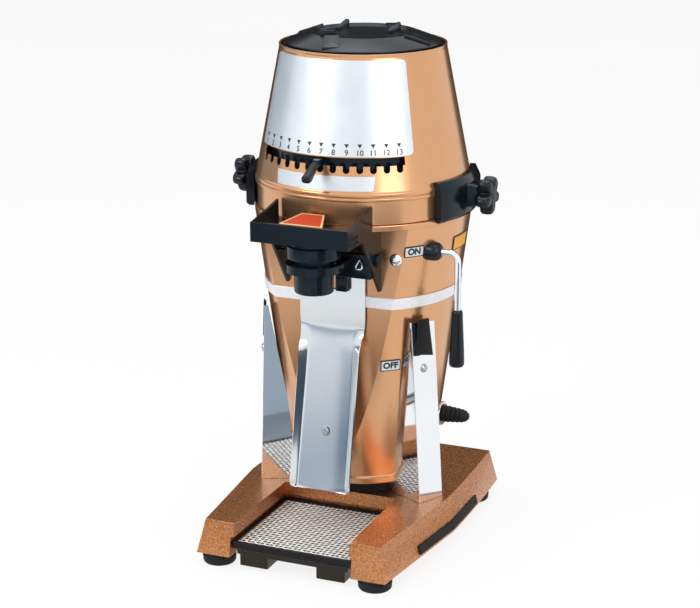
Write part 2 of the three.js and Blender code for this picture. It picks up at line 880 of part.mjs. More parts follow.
// Post between the flat of the housing and the back of the chute, which takes the chute's screw.
function chuteStandoff() {
  const length = (chuteBack(standoffPlace().z) + body.wall / 2) / -chuteWay.y;
  const at = (distance) => standoffPlace().addScaledVector(chuteWay, distance);
  const post = bar(at(-length), at(-clearance), standoff.radius, sides.small);
  return cut(post, bodyOutside(clearance), standoffBore(-standoff.depth - clearance, overrun));
}

function standoffBore(from, to) {
  const at = (distance) => standoffPlace().addScaledVector(chuteWay, distance);
  return bar(at(from), at(to), standoff.shank + clearance * 2, sides.pin);
}

function legBore(side) {
  const from = onWeb(legScrew.height, legScrew.place, overrun);
  const to = onWeb(legScrew.height, legScrew.place, -leg.thick - legScrew.depth - clearance);
  const bore = bar(from, to, legScrew.shank + clearance * 2, sides.pin);
  return side > 0 ? bore : mirrored(bore);
}

// Middle of the chute's screw on its back face, and the way out of that face.
function standoffPlace() {
  const z = body.bottom + standoff.height;
  return point(0, -body.flat - chuteBack(z), z);
}
const chuteSlope = (chute.lean - chute.seat) / (chute.bend - chute.bottom);
const chuteWay = point(0, -1, chuteSlope).normalize();

// How far the back of the chute stands in front of the flat at a height.
function chuteBack(z) {
  const bendZ = body.bottom + chute.bend;
  return chute.seat + chuteSlope * Math.max(0, bendZ - z);
}

const bandZ = body.bottom + band.bottom;
piece('pedestal_ring',
  tube(pedestal.radius, pedestal.bore, base.top + clearance, body.bottom - clearance), finish.matte);
piece('motor_housing', motorHousing(), finish.copper);

function trimBand() {
  const layer = cut(bodyOutside(clearance + band.thick), bodyOutside(clearance));
  const far = body.topRadius * 2;
  return layer.intersect(slab(-far, far, -far, far, bandZ, bandZ + band.height));
}
piece('trim_band', trimBand(), finish.brushed);

// Motor and grinding works inside the housing

function stator() {
  const z0 = body.bottom + motor.statorBottom;
  const ring = tube(motor.statorOuter, motor.statorInner, z0, z0 + motor.statorHeight, sides.part);
  const slots = [];
  for (let i = 0; i < motor.slots; i++) {
    const slot = slab(
      -motor.slotWidth / 2, motor.slotWidth / 2, motor.statorInner - overrun,
        motor.statorInner + motor.slotDepth,
      z0 - overrun, z0 + motor.statorHeight + overrun,
    );
    slots.push(spun(slot, (360 / motor.slots) * i));
  }
  return cut(ring, ...slots);
}

const carrierZ = bowl.bottom + bowl.floor + burr.carrierLift;
const lowerBurrZ = carrierZ + burr.carrierThick + clearance;
const upperBurrZ = lowerBurrZ + burr.thick + burr.gap;
const shaftTop = lowerBurrZ + burr.thick + burr.nutHeight;
const shaftBottom = body.bottom + body.floor + motor.shaftFoot / 2;
const shaftBore = motor.shaftRadius + clearance * 1.5;

function rotorShaft() {
  const coreZ = body.bottom + motor.statorBottom;
  const { shaftRadius, coreRadius, statorHeight } = motor;
  const nut = disc(burr.nutRadius, shaftTop - burr.nutHeight + clearance, shaftTop, 6);
  return join(nut, revolve([
    [0, shaftBottom], [shaftRadius, shaftBottom], [shaftRadius, coreZ], [coreRadius, coreZ],
    [coreRadius, coreZ + statorHeight], [shaftRadius, coreZ + statorHeight], [shaftRadius, shaftTop],
    [0, shaftTop],
  ], sides.small));
}

function bearing(outer, z0) {
  const [inner, z1] = [shaftBore, z0 + motor.bearingHeight];
  const { bearingRace } = motor;
  const mid = (inner + outer) / 2;
  const waist = (z1 - z0) / 6;
  return revolve([
    [inner, z0], [outer, z0], [outer, z1], [mid + bearingRace / 4, z1],
    [mid + bearingRace / 4, z1 - waist],
    [mid - bearingRace / 4, z1 - waist], [mid - bearingRace / 4, z1], [inner, z1],
  ], sides.small);
}

function coolingFan() {
  const z0 = body.bottom + motor.fanPlace;
  const plateDisc = tube(motor.fanRadius, shaftBore, z0, z0 + motor.fanDisc, sides.small);
  const hub = tube(motor.fanHub, shaftBore, z0, z0 + motor.fanHeight, sides.small);
  const blades = [];
  for (let i = 0; i < motor.fanBlades; i++) {
    const blade = slab(
      -motor.bladeThick / 2, motor.bladeThick / 2, motor.fanHub - motor.bladeThick,
        motor.fanRadius - motor.bladeThick,
      z0 + motor.fanDisc / 2, z0 + motor.fanHeight,
    );
    blades.push(spun(blade, (360 / motor.fanBlades) * i));
  }
  return join(plateDisc, hub, ...blades);
}

function millBowl() {
  const { radius, wall, bottom, floor, flange, hub } = bowl;
  const bearingBore = motor.upperBearingRadius + clearance * 1.5;
  const flangeZ = body.ledge + body.seatLift + clearance;
  const shell = revolve([
    [bearingBore, bottom], [radius, bottom], [radius, flangeZ], [body.seatRadius - runGap, flangeZ],
    [body.seatRadius - runGap, flangeZ + flange], [radius - wall, flangeZ + flange],
    [radius - wall, bottom + floor], [hub, bottom + floor],
    [hub, bottom + floor + motor.bearingHeight / 3],
    [bearingBore, bottom + floor + motor.bearingHeight / 3],
  ], sides.part);
  const window = slab(-outlet.width / 2, outlet.width / 2, -radius - overrun, -radius + wall + overrun,
    outlet.z0, outlet.z1);
  return cut(shell, window);
}

function grooved(shape, z, side) {
  const cuts = [];
  for (let i = 0; i < burr.grooves; i++) {
    const groove = slab(
      -burr.grooveWidth / 2, burr.grooveWidth / 2, burr.hole + burr.grooveWidth, burr.radius + overrun,
      z - burr.groove, z + burr.groove,
    );
    const skewed = moved(spun(moved(groove, 0, -burr.radius, 0), burr.skew * side), 0, burr.radius, 0);
    cuts.push(spun(skewed, (360 / burr.grooves) * i));
  }
  return cut(shape, ...cuts);
}

function burrCarrier() {
  const { carrierRadius, carrierThick, paddle, paddles } = burr;
  const plateDisc = tube(carrierRadius, shaftBore, carrierZ, carrierZ + carrierThick, sides.part);
  const arms = [];
  for (let i = 0; i < paddles; i++) {
    const arm = slab(
      -paddle / 2, paddle / 2, carrierRadius - paddle, bowl.radius - bowl.wall - runGap * 2,
      carrierZ, carrierZ + carrierThick,
    );
    arms.push(spun(arm, (360 / paddles) * i));
  }
  return join(plateDisc, ...arms);
}

piece('motor_stator', stator(), finish.winding);
piece('rotor_shaft', rotorShaft(), finish.steel);
const lowerBearingZ = body.bottom + body.floor + clearance;
const upperBearingZ = bowl.bottom - motor.bearingHeight / 3;
piece('lower_bearing', bearing(motor.bearingRadius, lowerBearingZ), finish.steel);
piece('upper_bearing', bearing(motor.upperBearingRadius, upperBearingZ), finish.steel);
piece('cooling_fan', coolingFan(), finish.matte);
const capacitorZ = body.bottom + body.floor + clearance;
const capacitor = disc(motor.capacitorRadius, capacitorZ, capacitorZ + motor.capacitorHeight,
  sides.small);
piece('start_capacitor', moved(capacitor, 0, motor.capacitorPlace, 0), finish.steel);
piece('mill_bowl', millBowl(), finish.steel);
piece('burr_carrier', burrCarrier(), finish.steel);
const lowerDisc = tube(burr.radius, burr.lowerHole, lowerBurrZ, lowerBurrZ + burr.thick, sides.part);
piece('lower_burr', grooved(lowerDisc, lowerBurrZ + burr.thick, 1), finish.steel);
const upperDisc = tube(burr.radius, burr.hole, upperBurrZ, upperBurrZ + burr.thick, sides.small);
piece('upper_burr', grooved(upperDisc, upperBurrZ, -1), finish.steel);

// Mill ring and the grind adjuster that turns in it

function millRing() {
  const { radius, wall, web, webLift, bore, bottom, top } = mill;
  return revolve([
    [bore, bottom + webLift], [radius - wall, bottom + webLift], [radius - wall, bottom],
    [radius, bottom],
    [radius, top], [radius - wall, top], [radius - wall, bottom + webLift + web],
    [bore, bottom + webLift + web],
  ]);
}

const skirt = { z0: hopper.coneZ + adjuster.skirtBottom, z1: hopper.coneZ + adjuster.skirtTop };

function adjustingRing() {
  const { bore, webThick, skirtRadius, skirtWall, collarInner, collarWall, collarHeight, burrSeat,
    neckWall } = adjuster;
  const neck = mill.bore - runGap;
  const z0 = upperBurrZ + burr.thick + clearance;
  const web = skirt.z0 + webThick;
  const ring = revolve([
    [bore, z0], [neck, z0], [neck, skirt.z0], [skirtRadius, skirt.z0], [skirtRadius, skirt.z1],
    [skirtRadius - skirtWall, skirt.z1], [skirtRadius - skirtWall, web], [neck - neckWall, web],
    [neck - neckWall, z0 + burrSeat], [collarInner + collarWall, z0 + burrSeat],
    [collarInner + collarWall, web + collarHeight], [collarInner, web + collarHeight],
    [collarInner, web], [bore, web],
  ], sides.part);
  return cut(ring, stemShape(clearance));
}

// The stem of the grind lever, which sits in a hole of the skirt and passes out through the slot.
function stemShape(margin) {
  const z = (dial.z0 + dial.z1) / 2;
  const root = adjuster.skirtRadius - adjuster.skirtWall;
  const shape = slab(
    -stem.width / 2 - margin, stem.width / 2 + margin, -stem.out, -root + margin,
    z - stem.height / 2 - margin, z + stem.height / 2 + margin,
  );
  return spun(shape, dial.middle);
}

function grindLever() {
  const z = (dial.z0 + dial.z1) / 2;
  const end = (y, drop, grow) => {
    const [w, h] = [(stem.handleWidth / 2) * grow, (stem.handleHeight / 2) * grow];
    const shapeShares = [[-1, -0.5], [-0.5, -1], [0.5, -1], [1, -0.5], [1, 0.5], [0.5, 1], [-0.5, 1],
      [-1, 0.5]];
    return shapeShares.map(([u, v]) => point(u * w, y, z - drop + v * h));
  };
  const handle = loft([
    end(-stem.out + stem.tip, 0, 0.75), end(-stem.out - stem.tip, stem.drop / 4, 0.95),
    end(-stem.reach + stem.tip, stem.drop, 1.15), end(-stem.reach + stem.tip / 4, stem.drop, 1),
      end(-stem.reach, stem.drop, 0.6),
  ]);
  return join(stemShape(0), spun(handle, dial.middle));
}

piece('mill_ring', millRing(), finish.copper);
piece('adjusting_ring', adjustingRing(), finish.black);
piece('grind_lever', grindLever(), finish.black);

// Hopper: copper cone with the notched slot, black funnel and lid

function hopperCone() {
  const { flangeRadius, flangeInner, flangeGroove, bottom, coneZ, rim, footRadius, wall, lip,
    lipHeight } = hopper;
  const third = (coneZ - bottom) / 3;
  const shell = revolve([
    [flangeInner, bottom], [flangeRadius, bottom], [flangeRadius, bottom + third],
    [flangeRadius - flangeGroove, bottom + third * 1.4], [flangeRadius, bottom + third * 1.8],
    [flangeRadius, coneZ - flangeGroove],
    [footRadius, coneZ], [coneRadius(rim - lipHeight), rim - lipHeight],
    [coneRadius(rim) + lip / 2, rim - lipHeight / 2],
    [coneRadius(rim) + lip / 2, rim], [coneRadius(rim) - wall, rim],
    [coneRadius(coneZ) - wall, coneZ], [flangeInner, coneZ - flangeGroove],
  ]);
  return cut(shell, ...dialCuts());
}

// The long slot and the thirteen notches under it, cut through the wall of the cone.
function dialCuts() {
  const far = hopper.flangeRadius + overrun;
  const end = dial.span + dial.slotEnd;
  const slot = sector(dial.middle - end, dial.middle + end, far, dial.z0, dial.z1);
  const core = disc(adjuster.skirtRadius + runGap / 2, dial.z0 - overrun, dial.z1 + overrun);
  const notch = new THREE.Shape();
  const half = dial.notchWidth / 2;
  notch.moveTo(half, overrun / 2);
  notch.lineTo(-half, overrun / 2);
  notch.lineTo(-half, -dial.notchDrop + half);
  notch.absarc(0, -dial.notchDrop + half, half, Math.PI, 2 * Math.PI, false);
  const depth = far - adjuster.skirtRadius;
  const geometry = new THREE.ExtrudeGeometry(notch, { depth, bevelEnabled: false, curveSegments: 2 });
  geometry.rotateX(Math.PI / 2);
  geometry.translate(0, -adjuster.skirtRadius, dial.z0);
  const tool = solid(geometry);
  const notches = [];
  for (let i = 0; i < dial.steps; i++) {
    notches.push(spun(tool, dial.middle - dial.span + dial.pitch * i));
  }
  return [cut(slot, core), ...notches];
}

function hopperFunnel() {
  const { wall, lipWidth, rimDrop, throat, throatDrop, tube: tubeLength } = funnel;
  const z = hopper.rim - rimDrop;
  const outer = coneRadius(z + wall) - hopper.wall - runGap;
  return revolve([
    [outer - lipWidth, z], [throat, z - throatDrop], [throat, z - throatDrop - tubeLength],
    [throat - wall, z - throatDrop - tubeLength], [throat - wall, z - throatDrop + wall],
    [outer - lipWidth - wall * 2, z + wall],
    [outer, z + wall], [outer, z],
  ], sides.part);
}

const lidZ = hopper.rim - funnel.rimDrop + funnel.wall + clearance;

function hopperLid() {
  const { discRadius, rise, edgeRadius, edgeThick, wall, recess, recessRadius } = lid;
  const [low, high] = [lidZ, lidZ + rise];
  const shell = revolve([
    [0, high - wall - recess], [recessRadius, high - wall - recess], [discRadius - wall, high - wall],
    [edgeRadius - wall * 2, low], [edgeRadius, low], [edgeRadius, low + edgeThick], [discRadius, high],
    [recessRadius, high], [recessRadius - wall / 2, high - recess], [0, high - recess],
  ], sides.ring);
  const additions = [];
  for (let i = 0; i < 4; i++) {
    const rib = sidePrism([
      [-discRadius + wall * 2, high - wall], [-discRadius + wall * 2, high + lid.ribRise],
      [-edgeRadius + wall * 2, high + lid.ribEnd], [-edgeRadius + wall * 2, low + wall / 2],
    ], -lid.ribWidth / 2, lid.ribWidth / 2);
    additions.push(spun(rib, lid.ribTurn + 90 * i));
  }
  const [near, far] = [lid.lugPlace - lid.lugLength / 2, lid.lugPlace + lid.lugLength / 2];
  const lugFoot = high - recess - wall / 2;
  const lug = sidePrism([
    [near, lugFoot], [near, high + lid.lugLow], [far - lid.lugWidth / 2, high + lid.lugHigh],
    [far, high + lid.lugHigh], [far, lugFoot],
  ], lid.lugSide - lid.lugWidth / 2, lid.lugSide + lid.lugWidth / 2);
  additions.push(lug, mirrored(lug));
  return join(shell, ...additions);
}

piece('hopper_cone', hopperCone(), finish.copper);
piece('hopper_funnel', hopperFunnel(), finish.black);
piece('hopper_lid', hopperLid(), finish.black);
const coneZ = hopper.coneZ;
const dialSheet = conePlate(
  coneRadius, -dialPlate.halfAngle, dialPlate.halfAngle, coneZ + dialPlate.bottom,
    coneZ + dialPlate.top, dialPlate.corner, 24,
);
piece('dial_plate', dialSheet, finish.silver);
const noticeSheet = conePlate(
  coneRadius, -noticePlate.halfAngle, noticePlate.halfAngle,
  coneZ + noticePlate.bottom, coneZ + noticePlate.bottom + noticePlate.height, noticePlate.corner, 14,
);
piece('notice_plate', noticeSheet, finish.silver);
const switchPlates = { plate_on: onPlate, plate_off: offPlate, plate_side: sidePlate };
for (const [name, size] of Object.entries(switchPlates)) {
  const z = body.ledge - size.drop;
  const sheet = conePlate(bodyRadius, size.from, size.to, z, z + size.height, size.corner, 5);
  piece(name, sheet, name === 'plate_side' ? finish.yellow : finish.silver);
}

// Side clamps that hold the hopper down, with their star knobs

const saddleZ = {
  bottom: body.top - saddle.drop,
  flange: hopper.coneZ + saddle.gap,
  top: hopper.coneZ + saddle.rise,
};

function clampSaddle() {
  const inner = Math.max(body.topRadius, hopper.flangeRadius) + saddle.gap;
  const lipRadius = coneRadius(saddleZ.flange) + saddle.gap;
  const profile = [
    [inner, saddleZ.bottom], [saddle.radius, saddleZ.bottom + saddle.drop / 2],
    [saddle.radius, saddleZ.top - saddle.bevel],
    [saddle.radius - saddle.bevelIn, saddleZ.top], [lipRadius, saddleZ.top], [lipRadius, saddleZ.flange],
    [inner, saddleZ.flange],
  ];
  const loops = [];
  const [from, to] = [90 - saddle.frontAngle, 90 + saddle.rearAngle];
  const steps = 10;
  for (let i = 0; i <= steps; i++) {
    const way = heading(from + ((to - from) * i) / steps);
    loops.push(profile.map(([r, z]) => point(way.x * r, way.y * r, z)));
  }
  const middle = (saddleZ.bottom + saddleZ.top) / 2;
  const face = (x, half, height) => [
    point(x, -half, middle - height / 2), point(x, half, middle - height / 2),
    point(x, half, middle + height / 2), point(x, -half, middle + height / 2),
  ];
  const boss = loft([
    face(saddle.radius - saddle.bevelIn, saddle.bossHalf, saddle.bossHeight),
    face(saddle.radius + saddle.bossOut, saddle.bossTip, saddle.bossHeight - saddle.bevelIn),
  ]);
  return join(loft(loops), boss);
}

// A star with rounded lobes, a hub behind it and a dished face. Its axis lies along X.
function starKnob() {
  const count = star.lobes * 6;
  const points = [];
  for (let i = 0; i < count; i++) {
    const angle = (i / count) * 360 * degree;
    const r = star.radius + star.lobe * Math.cos(star.lobes * angle);
    points.push([r * Math.cos(angle), r * Math.sin(angle)]);
  }
  const head = prism(outline(points), star.hubLength, star.hubLength + star.thick);
  const hub = disc(star.hubRadius, 0, star.hubLength + star.thick / 2, sides.small);
  const far = star.hubLength + star.thick;
  const dish = revolve([[0, far - star.dish], [star.dishRadius - star.dish, far - star.dish],
    [star.dishRadius, far + star.dish], [0, far + star.dish]], 28);
  const knob = cut(join(head, hub), dish).rotate([0, 90, 0]);
  const x = saddle.radius + saddle.bossOut + clearance;
  return moved(knob, x, 0, (saddleZ.bottom + saddleZ.top) / 2);
}

piece('clamp_saddle_right', clampSaddle(), finish.black);
piece('clamp_saddle_left', mirrored(clampSaddle()), finish.black);
piece('clamp_knob_right', starKnob(), finish.black);
piece('clamp_knob_left', mirrored(starKnob()), finish.black);

// Bag clamp housing: a shelf with raised side fins and gussets down the flat of the body

const flatFace = -body.flat - clearance;

function clampHousing() {
  const half = shelf.width / 2;
  const { z0, z1, wall } = shelf;
  const block = slab(-half, half, -shelf.front, flatFace, z0, z1);
  const recess = slab(
    -half + wall, half - wall, -shelf.front + shelf.frontWall, flatFace + overrun, z1 - shelf.recess,
      z1 + overrun,
  );
  const underside = slab(
    -half + wall, half - wall, -shelf.front + shelf.frontWall, flatFace + overrun, z0 - overrun,
      z1 - shelf.recess - wall,
  );
  const collarTop = disc(spout.collarRadius, z0, z1 - shelf.recess - wall / 2, sides.part);
  const fin = sidePrism([
    [-shelf.front + shelf.frontWall / 2, z1 - wall], [-shelf.front + shelf.frontWall, z1],
    [-shelf.finRear, z1 + shelf.finRise],
    [flatFace, z1 + shelf.finRise], [flatFace, z0], [-shelf.front + shelf.frontWall, z0],
  ], half - wall, half);
  const gusset = sidePrism([
    [-shelf.gussetFront, z0 + wall], [-shelf.gussetFront, z0], [flatFace - wall, z0 - shelf.gussetDrop],
    [flatFace, z0 - shelf.gussetDrop], [flatFace, z0 + wall],
  ], half - wall, half);
  const ringClear = disc(body.topRadius + shelf.ringGap, body.ledge - clearance,
    z1 + shelf.finRise + overrun);
  const pinHole = barX(-half - overrun, half + overrun, -yoke.pivotY, yoke.pivotZ,
    yoke.pinRadius + clearance, sides.pin);
  const slots = [];
  for (let i = 0; i < 2; i++) {
    const z = z0 + shelf.slotHeight * (1.6 + 2.8 * i);
    const y = -shelf.front + shelf.frontWall * 3;
    slots.push(slab(half - wall / 3, half + overrun, y, y + shelf.slotLength, z, z + shelf.slotHeight));
  }
  const body1 = join(cut(block, recess, underside), moved(collarTop, 0, -spout.place, 0), fin,
    mirrored(fin), gusset, mirrored(gusset));
  return cut(body1, ringClear, pinHole, ...slots, ductHollow());
}

// The way of the ground coffee: from the outlet of the mill, down into the spout.
function ductWay() {
  return sidePrism([
    [-spout.place, outlet.z1], [flatFace + overrun, outlet.z1], [flatFace + overrun, outlet.z0],
    [-spout.place, outlet.z0 - outlet.bottom / 2],
  ], -outlet.width / 2, outlet.width / 2);
}

function ductHollow() {
  const bore = moved(disc(spout.bore, spout.bottom - overrun, outlet.z1, sides.part), 0, -spout.place, 0);
  return join(ductWay(), bore);
}

function spoutCollar() {
  const z1 = shelf.z0 - clearance;
  const collar = revolve([
    [0, z1 - spout.collarDrop], [spout.collarRadius - 1.5 * clearance, z1 - spout.collarDrop],
    [spout.collarRadius, z1 - spout.collarDrop * 0.85], [spout.collarRadius, z1 - spout.collarDrop / 3],
    [spout.collarRadius * 0.94, z1 - spout.collarDrop / 4], [spout.collarRadius * 0.94, z1], [0, z1],
  ], sides.part);
  const duct = slab(-spout.ductHalf, spout.ductHalf, -spout.place, flatFace, z1 - spout.ductDrop, z1);
  const seat = disc(spout.radius + clearance, z1 - spout.collarDrop - overrun,
    z1 - spout.collarDrop / 2, sides.part);
  const pin = barX(-spout.ductHalf - overrun, spout.ductHalf + overrun, -yoke.pivotY, yoke.pivotZ,
    yoke.pinRadius + clearance, sides.pin);
  return cut(join(moved(collar, 0, -spout.place, 0), duct), moved(seat, 0, -spout.place, 0),
    ductHollow(), pin);
}

function spoutTube() {
  const z1 = shelf.z0 - clearance * 2 - spout.collarDrop / 2;
  const { radius, bore, bottom } = spout;
  const shape = revolve([
    [bore, bottom], [radius - clearance * 3, bottom], [radius, bottom + clearance * 6], [radius, z1],
    [bore, z1],
  ], sides.part);
  return cut(moved(shape, 0, -spout.place, 0), ductWay());
}

function clampYoke() {
  const z1 = shelf.z0 - yoke.ringDrop;
  const ring = moved(tube(yoke.ringOuter, yoke.ringInner, z1 - yoke.ringHeight, z1, sides.part), 0,
    -spout.place, 0);
  const arm = sidePrism([
    [-spout.place, z1 - yoke.ringHeight], [-spout.place, z1],
    [-yoke.pivotY - yoke.hubRadius / 2, yoke.pivotZ + yoke.armHeight / 2],
    [-yoke.pivotY, yoke.pivotZ - yoke.armHeight / 2],
  ], yoke.armInner, yoke.armInner + yoke.armWidth);
  const hub = barX(yoke.armInner, yoke.armInner + yoke.armWidth, -yoke.pivotY, yoke.pivotZ,
    yoke.hubRadius, sides.small);
  const pinHole = barX(-half(shelf.width), half(shelf.width), -yoke.pivotY, yoke.pivotZ,
    yoke.pinRadius + clearance, sides.pin);
  return cut(join(ring, arm, mirrored(arm), hub, mirrored(hub)), pinHole);
}

function half(length) {
  return length / 2;
}

function clampPin() {
  const [y, z] = [-yoke.pivotY, yoke.pivotZ];
  const reach = half(shelf.width) + clearance;
  const shaft = barX(-reach - yoke.pinHeadThick, reach + yoke.pinHeadThick, y, z, yoke.pinRadius,
    sides.pin);
  const head = barX(reach, reach + yoke.pinHeadThick, y, z, yoke.pinHead, sides.small);
  return join(shaft, head, mirrored(head));
}

// A torsion spring on the clamp pin: one wire wound along X.
class Winding extends THREE.Curve {
  getPoint(t, target = new THREE.Vector3()) {
    const angle = t * yoke.springTurns * 360 * degree;
    return target.set(
      yoke.springStart + t * yoke.springLength,
      -yoke.pivotY + yoke.springRadius * Math.cos(angle),
      yoke.pivotZ + yoke.springRadius * Math.sin(angle),
    );
  }
}

function clampSpring() {
  const steps = yoke.springTurns * 7;
  const section = roundOutline(yoke.springWire / 2, 5);
  return solid(new THREE.ExtrudeGeometry(section,
    { steps, bevelEnabled: false, extrudePath: new Winding() }));
}

// Plain plate on the shelf, sloping up towards the rear.
function shelfPlate() {
  const z = shelf.z1 - shelf.recess + clearance;
  const y = -shelf.front + badge.back;
  const [w, d, c] = [badge.width / 2, badge.depth / 2, badge.corner];
  const shape = new THREE.Shape();
  shape.moveTo(-w + c, -d);
  shape.lineTo(w - c, -d);
  shape.quadraticCurveTo(w, -d, w, -d + c);
  shape.lineTo(w, d - c);
  shape.quadraticCurveTo(w, d, w - c, d);
  shape.lineTo(-w + c, d);
  shape.quadraticCurveTo(-w, d, -w, d - c);
  shape.lineTo(-w, -d + c);
  shape.quadraticCurveTo(-w, -d, -w + c, -d);
  const block = moved(prism(shape, z, z + badge.high * 2, 4), -badge.left, y, 0);
  const slope = sidePrism(
    [[y - d, z], [y - d, z + badge.low], [y + d, z + badge.high], [y + d, z]],
    -shelf.width, shelf.width,
  );
  return block.intersect(slope);
}

piece('clamp_housing', clampHousing(), finish.black);
piece('shelf_plate', shelfPlate(), finish.orange);
piece('spout_collar', spoutCollar(), finish.black);
piece('spout_tube', spoutTube(), finish.black);
piece('clamp_yoke', clampYoke(), finish.black);
piece('clamp_pin', clampPin(), finish.steel);
piece('clamp_spring', clampSpring(), finish.steel);

// Chute: a bright sheet folded into a shallow trough that guides the bag

function chuteLoop(z, flanged) {
  const y = -body.flat - chuteBack(z);
  const bendZ = body.bottom + chute.bend;
  const bottomZ = body.bottom + chute.bottom;
  const share = Math.min(1, Math.max(0, (bendZ - z) / (bendZ - bottomZ)));
  const web = chute.webTop + (chute.webBottom - chute.webTop) * share;
  const t = chute.thick;
  const { half, depth, topHalf } = chute;
  const trough = [
    [-half, -depth], [-web, 0], [web, 0], [half, -depth],
    [half - t, -depth - t / 2], [web - t / 2, -t], [-web + t / 2, -t], [-half + t, -depth - t / 2],
  ];
  const flat = [[-topHalf, 0], [topHalf, 0], [topHalf, -t], [-topHalf, -t]];
  return (flanged ? trough : flat).map(([x, dy]) => point(x, y + dy, z));
}

function chuteSheet() {
  const z = body.bottom;
  const notchTop = z + chute.bend - chute.notchDrop;
  const notchFoot = notchTop - chute.notch;
  const levels = [z + chute.bottom, z + (chute.bottom + chute.bend) / 2, notchFoot];
  const trough = loft(levels.map((level) => chuteLoop(level, true)));
  const upper = loft([notchFoot, z + chute.bend, z + chute.top].map((level) => chuteLoop(level, false)));
  const y = -body.flat - chute.seat;
  const top = z + chute.top;
  const tab = slab(chute.tabInner, chute.topHalf, y - chute.thick, y, top - chute.thick,
    top + chute.tabHeight);
  const far = chute.topHalf + overrun;
  const notch = slab(chute.webTop + chute.notch, far, y - chute.depth * 3, y, notchFoot, notchTop);
  return cut(
    join(trough, upper, tab, mirrored(tab)), notch, mirrored(notch), standoffBore(-overrun, overrun),
    lowerCorner(1), lowerCorner(-1),
  );
}

// Takes a lower corner off the chute, on the side given by the sign.
function lowerCorner(side) {
  const z = body.bottom + chute.bottom;
  const points = [
    [chute.half - chute.corner, z - overrun], [chute.half - chute.corner, z],
    [chute.half, z + chute.corner],
    [chute.half + overrun, z + chute.corner], [chute.half + overrun, z - overrun],
  ];
  const geometry = new THREE.ExtrudeGeometry(outline(points),
    { depth: body.topRadius, bevelEnabled: false });
  geometry.rotateX(Math.PI / 2);
  geometry.translate(0, -body.flat + overrun, 0);
  return side > 0 ? solid(geometry) : mirrored(solid(geometry));
}

function screw(seat, way, headRadius, headThick, shank, depth) {
  const top = seat.clone().addScaledVector(way, headThick + clearance);
  const under = seat.clone().addScaledVector(way, clearance);
  const end = seat.clone().addScaledVector(way, -depth);
  const slotHalf = shank / 5;
  const head = bar(under, top, headRadius, sides.small, headRadius * 0.8);
  const shape = join(head, bar(end, top.clone().lerp(under, 0.5), shank, sides.pin));
  const slot = slab(-slotHalf, slotHalf, -headRadius * 2, headRadius * 2, -headThick / 3, headThick);
  const turn = new THREE.Matrix4().lookAt(way, point(0, 0, 0), point(0, 0, 1));
  turn.setPosition(top);
  return cut(shape, slot.transform(turn.elements));
}

piece('chute', chuteSheet(), finish.chrome);
const chuteSeat = standoffPlace().addScaledVector(chuteWay, chute.thick);
const chuteScrew = screw(
  chuteSeat, chuteWay, standoff.screwRadius, standoff.screwThick, standoff.shank, standoff.depth,
);
piece('chute_screw', chuteScrew, finish.steel);
piece('chute_standoff', chuteStandoff(), finish.steel);

// Legs: folded mirror sheets from the rails up to the housing

function legSheet() {
  const t = leg.thick;
  const { back, inward } = legFrame;
  const foldAt = (share) => legFold(share);
  const bodySpace = bodyOutside(leg.bodyGap);
  const loop = (share) => {
    const fold = foldAt(share);
    const flange = leg.flangeWidth + (leg.flangeTop - leg.flangeWidth) * share;
    const at = (b, i) => fold.clone().addScaledVector(back, b).addScaledVector(inward, i);
    return [at(0, 0), at(0, flange), at(t, flange), at(t, t), at(leg.webWidth, t), at(leg.webWidth, 0)];
  };
  const sheet = loft([loop(0), loop(0.5), loop(1)]);
  const beadRadius = body.bottomRadius + body.ringProud * 2 + leg.bodyGap;
  const footSpace = join(
    disc(pedestal.radius + leg.bodyGap, base.top, body.bottom, sides.large),
    disc(beadRadius, body.bottom - leg.bodyGap, body.bottom + body.ringHeight + leg.bodyGap, sides.large),
  );
  return cut(sheet, bodySpace, footSpace, insertShape(clearance, 0), legBore(1));
}

// The tapered black insert in the top of the web, grown by a margin and proud by a thickness.
function insertShape(margin, proud) {
  const high = leg.height + legInsert.cap;
  const low = leg.height - legInsert.height;
  const side = (height, width, grow) => {
    const middle = legInsert.place + legInsert.width / 2;
    const [a, b] = [middle - width / 2 - grow, middle + width / 2 + grow];
    return [
      onWeb(height, a, proud), onWeb(height, b, proud), onWeb(height, b, -leg.thick - margin * 4),
        onWeb(height, a, -leg.thick - margin * 4),
    ];
  };
  const reach = margin > 0 ? overrun : 0;
  const outward = margin > 0 ? overrun : proud;
  const grown = (height, width) => side(height, width,
    margin).map((p, k) => (k < 2 ? p.addScaledVector(legFrame.normal, outward - proud) : p));
  return loft([grown(low - margin, legInsert.width), grown(high + reach, legInsert.topWidth)]);
}

const legPiece = legSheet();
const insertPiece = cut(insertShape(0, legInsert.proud), bodyOutside(leg.bodyGap));
const legSeat = onWeb(legScrew.height, legScrew.place, 0);
const legScrewPiece = screw(
  legSeat, legFrame.normal, legScrew.headRadius, legScrew.headThick, legScrew.shank,
    leg.thick + legScrew.depth,
);
piece('leg_right', legPiece, finish.chrome);
piece('leg_left', mirrored(legPiece), finish.chrome);
piece('leg_insert_right', insertPiece, finish.black);
piece('leg_insert_left', mirrored(insertPiece), finish.black);
piece('leg_screw_right', legScrewPiece, finish.steel);
piece('leg_screw_left', mirrored(legScrewPiece), finish.steel);

// Start lever on the right side, its cam and the switch it works

